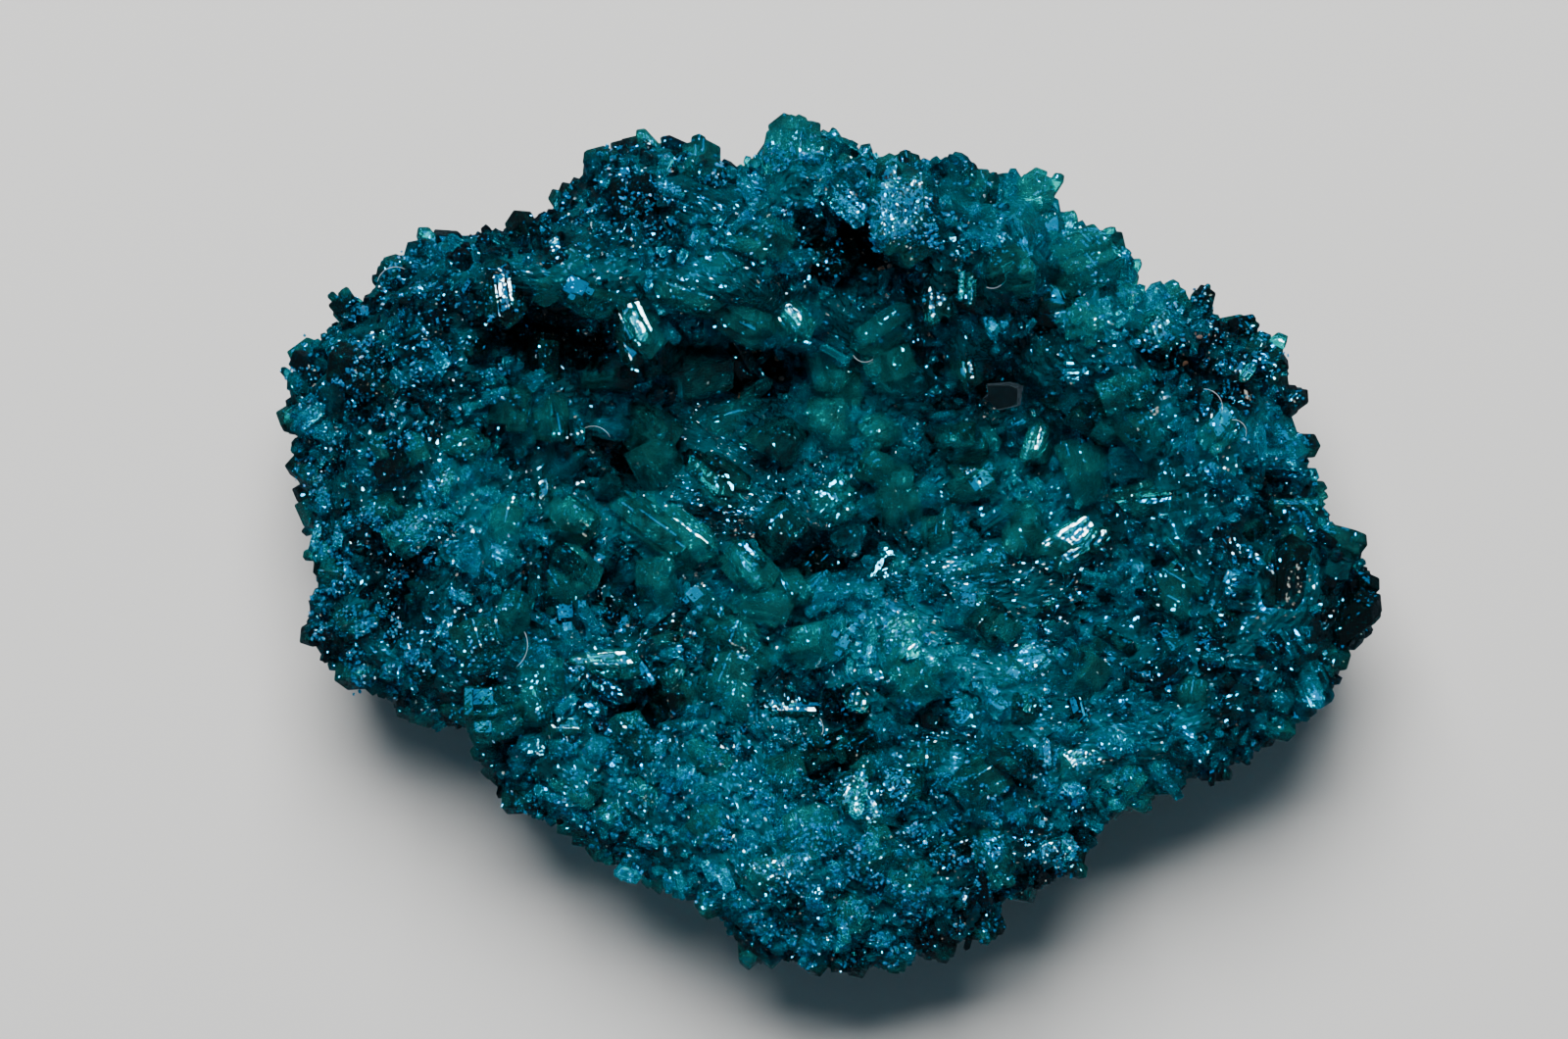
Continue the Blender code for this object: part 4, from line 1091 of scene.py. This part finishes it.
CRUMB_SIZE = (0.12, 0.42)
CRUMB_ZONES = (
    (190.0, 236.0, 0.93, 0.99, 70), (0.0, 360.0, 0.10, 0.55, 150), (0.0, 360.0, 0.60, 0.95, 120),
)
POCKET_CRUMBS = ((-3.2, 8.2, 1.8, 16), (2.6, 12.2, 0.9, 8), (0.4, -0.6, 1.2, 8), (15.4, 8.0, 1.2, 6))
GOLDEN = (1.0 + math.sqrt(5.0)) / 2.0
LUMP = np.array([
    (-1, GOLDEN, 0), (1, GOLDEN, 0), (-1, -GOLDEN, 0), (1, -GOLDEN, 0), (0, -1, GOLDEN), (0, 1, GOLDEN),
    (0, -1, -GOLDEN), (0, 1, -GOLDEN), (GOLDEN, 0, -1), (GOLDEN, 0, 1), (-GOLDEN, 0, -1), (-GOLDEN, 0, 1),
])
LUMP_FACES = np.array((
    (0, 11, 5), (0, 5, 1), (0, 1, 7), (0, 7, 10), (0, 10, 11), (1, 5, 9), (5, 11, 4), (11, 10, 2), (10, 7, 6),
    (7, 1, 8), (3, 9, 4), (3, 4, 2), (3, 2, 6), (3, 6, 8), (3, 8, 9), (4, 9, 5), (2, 4, 11), (6, 2, 10),
    (8, 6, 7), (9, 8, 1),
))


def crumb_places(rng):
    """Places of the crumbs: on bands of the back by angle and share, and in the pockets of the top."""
    places = []
    for low, high, near, far, count in CRUMB_ZONES:
        x, y = point_at(rng.uniform(low, high, count), rng.uniform(near, far, count))
        places.append(np.stack((x, y, np.maximum(back_height(x, y) + 0.05, 0.12)), axis=-1))
    for cx, cy, reach, count in POCKET_CRUMBS:
        x = cx + rng.normal(size=count) * reach * 0.5
        y = cy + rng.normal(size=count) * reach * 0.5
        places.append(np.stack((x, y, top_height(x, y) + 0.30), axis=-1))
    return np.concatenate(places)


rock, tree, shader = new_material("rusty_rock")
place = add_node(tree, "ShaderNodeTexCoord").outputs["Object"]
grains = add_node(tree, "ShaderNodeTexNoise", Scale=3200.0, Detail=6.0, Roughness=0.7)
tree.links.new(place, grains.inputs["Vector"])
rust = add_node(tree, "ShaderNodeValToRGB")
rust.color_ramp.elements[0].position = 0.36
rust.color_ramp.elements[0].color = (0.030, 0.012, 0.007, 1.0)
rust.color_ramp.elements[1].position = 0.68
rust.color_ramp.elements[1].color = (0.30, 0.15, 0.08, 1.0)
tree.links.new(grains.outputs["Fac"], rust.inputs["Fac"])
tree.links.new(rust.outputs["Color"], shader.inputs["Base Color"])
bumps = add_node(tree, "ShaderNodeBump", Strength=0.6, Distance=0.00004)
tree.links.new(grains.outputs["Fac"], bumps.inputs["Height"])
tree.links.new(bumps.outputs["Normal"], shader.inputs["Normal"])
shader.inputs["Roughness"].default_value = 0.85

places = crumb_places(rng)
grain = LUMP / np.linalg.norm(LUMP[0]) * rng.uniform(0.6, 1.2, (len(places), 12, 1))
grain = grain * rng.uniform(0.7, 1.2, (len(places), 1, 3))
grain = grain * (rng.uniform(*CRUMB_SIZE, len(places)) / 2.0)[:, None, None] + places[:, None]
grain[..., 2] = np.maximum(grain[..., 2], 0.0)
corners = (LUMP_FACES[None] + 12 * np.arange(len(places))[:, None, None]).ravel()
crumbs = object_of("rock_crumbs", grain.reshape(-1, 3), np.arange(0, len(corners), 3), corners, rock)
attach(crumbs, "root")
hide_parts("dioptase_cluster")

# Dust fibres. A few fine white hairs of lint have settled on the crystals and cling to their tips.

FIBRES = (
    (17.0, 5.6, 1.6, 70.0, 0.9), (17.4, 5.4, 1.2, 10.0, -1.0), (6.8, 11.2, 1.5, -30.0, 1.2),
    (7.6, 11.8, 1.1, 60.0, -0.8), (-9.3, 4.6, 1.4, 110.0, 0.8), (-13.4, -5.4, 1.8, 35.0, 0.7),
    (1.2, 8.4, 1.3, -70.0, 1.1), (-19.4, 11.4, 1.6, 80.0, -0.9), (-0.6, -8.8, 1.4, 20.0, 0.9),
)
FIBRE_RADIUS = 0.011
FIBRE_STEPS = 14


def fibre_rings(x, y, length, heading, bend):
    """Rings of five points along an arc over the crystals: heading turns by bend radians on the way."""
    t = np.linspace(0.0, 1.0, FIBRE_STEPS)
    turn = math.radians(heading) + bend * t * 2.0
    px = x + np.cumsum(np.cos(turn)) * length / FIBRE_STEPS
    py = y + np.cumsum(np.sin(turn)) * length / FIBRE_STEPS
    pz = top_height(px, py).max() + 0.9 + 0.25 * np.sin(math.pi * t)
    around = np.radians(72.0 * np.arange(5))
    across = np.stack((-np.sin(turn), np.cos(turn), 0.0 * turn), axis=-1)[:, None] * np.cos(around)[:, None]
    upward = np.array((0.0, 0.0, 1.0)) * np.sin(around)[:, None]
    middle = np.stack((px, py, pz), axis=-1)[:, None]
    return middle + (across + upward) * FIBRE_RADIUS


lint, tree, shader = new_material("lint")
place = add_node(tree, "ShaderNodeTexCoord").outputs["Object"]
fluff = add_node(tree, "ShaderNodeTexNoise", Scale=6000.0, Detail=2.0)
tree.links.new(place, fluff.inputs["Vector"])
white = add_node(tree, "ShaderNodeValToRGB")
white.color_ramp.elements[0].color = (0.30, 0.32, 0.34, 1.0)
white.color_ramp.elements[1].color = (0.75, 0.78, 0.80, 1.0)
tree.links.new(fluff.outputs["Fac"], white.inputs["Fac"])
tree.links.new(white.outputs["Color"], shader.inputs["Base Color"])
shader.inputs["Roughness"].default_value = 0.7

hairs = np.array([fibre_rings(*fibre) for fibre in FIBRES])
starts, corners = ring_faces(FIBRE_STEPS, 5)
ends = hairs[:, (0, -1)].mean(axis=2)
points = np.concatenate((hairs.reshape(len(FIBRES), -1, 3), ends), axis=1)
shift = np.arange(len(FIBRES))[:, None]
fibres = object_of(
    "dust_fibres", points.reshape(-1, 3), (starts + shift * len(corners)).ravel(),
    (corners + shift * points.shape[1]).ravel(), lint, flat=False)
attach(fibres, "root")
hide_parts("dioptase_cluster")

# The stage: a pale floor, soft studio lights, and a camera that looks straight down into the bowl.

PHOTO_WIDTH = 1600
PHOTO_MIDDLE = (844.5, 558.5)
PIXEL = 0.04405 * MM
LENS = 200.0
SENSOR = 36.0

floor_mesh = bpy.data.meshes.new("floor")
floor_mesh.from_pydata([(-2, -2, 0), (2, -2, 0), (2, 2, 0), (-2, 2, 0)], [], [(0, 1, 2, 3)])
floor = bpy.data.objects.new("floor", floor_mesh)
bpy.context.scene.collection.objects.link(floor)
floor.visible_glossy = False
paper, tree, shader = new_material("pale_paper")
shader.inputs["Base Color"].default_value = (0.80, 0.79, 0.78, 1.0)
shader.inputs["Roughness"].default_value = 0.9
shader.inputs["Specular IOR Level"].default_value = 0.0
floor_mesh.materials.append(paper)
floor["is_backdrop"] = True

world = bpy.data.worlds.new("studio")
bpy.context.scene.world = world
world.use_nodes = True
world.node_tree.nodes["Background"].inputs["Color"].default_value = (0.50, 0.80, 1.0, 1.0)
world.node_tree.nodes["Background"].inputs["Strength"].default_value = 0.10


def add_light(name, place, size, power, colour):
    """A square soft light that faces the specimen."""
    data = bpy.data.lights.new(name, "AREA")
    data.size = size
    data.energy = power
    data.color = colour
    light = bpy.data.objects.new(name, data)
    light.location = place
    light.rotation_euler = (-Vector(place)).to_track_quat("-Z", "Y").to_euler()
    bpy.context.scene.collection.objects.link(light)
    return light


soft_box = add_light("soft_box", (-0.04, 0.32, 0.44), 0.36, 6.0, (1.0, 0.99, 0.97))
soft_box.visible_glossy = False
add_light("warm_box", (0.24, -0.26, 0.46), 0.09, 0.22, (1.0, 0.97, 0.88)).visible_diffuse = False
add_light("blue_box", (0.02, 0.36, 0.26), 0.40, 2.4, (0.0, 0.42, 1.0)).visible_diffuse = False
add_light("key", (0.06, 0.30, 0.40), 0.06, 2.0, (0.60, 0.86, 1.0)).visible_diffuse = False
add_light("blue_lamp", (-0.16, 0.26, 0.34), 0.04, 1.6, (0.0, 0.40, 1.0)).visible_diffuse = False
add_light("low_lamp", (0.06, 0.38, 0.16), 0.05, 1.8, (0.0, 0.38, 1.0)).visible_diffuse = False
add_light("left_lamp", (-0.36, 0.02, 0.28), 0.04, 1.6, (0.02, 0.50, 1.0)).visible_diffuse = False
add_light("right_lamp", (0.32, 0.06, 0.30), 0.04, 1.6, (0.05, 0.62, 1.0)).visible_diffuse = False
add_light("front_lamp", (-0.10, -0.30, 0.36), 0.04, 1.6, (0.0, 0.56, 1.0)).visible_diffuse = False
add_light("high_lamp", (0.16, 0.14, 0.46), 0.03, 1.0, (0.20, 0.70, 1.0)).visible_diffuse = False

camera_data = bpy.data.cameras.new("camera")
camera_data.lens = LENS
camera_data.sensor_width = SENSOR
camera = bpy.data.objects.new("camera", camera_data)
away = PHOTO_WIDTH * PIXEL * LENS / SENSOR
camera.location = ((800.0 - PHOTO_MIDDLE[0]) * PIXEL, (PHOTO_MIDDLE[1] - 530.0) * PIXEL, away + 0.009)
bpy.context.scene.collection.objects.link(camera)
bpy.context.scene.camera = camera
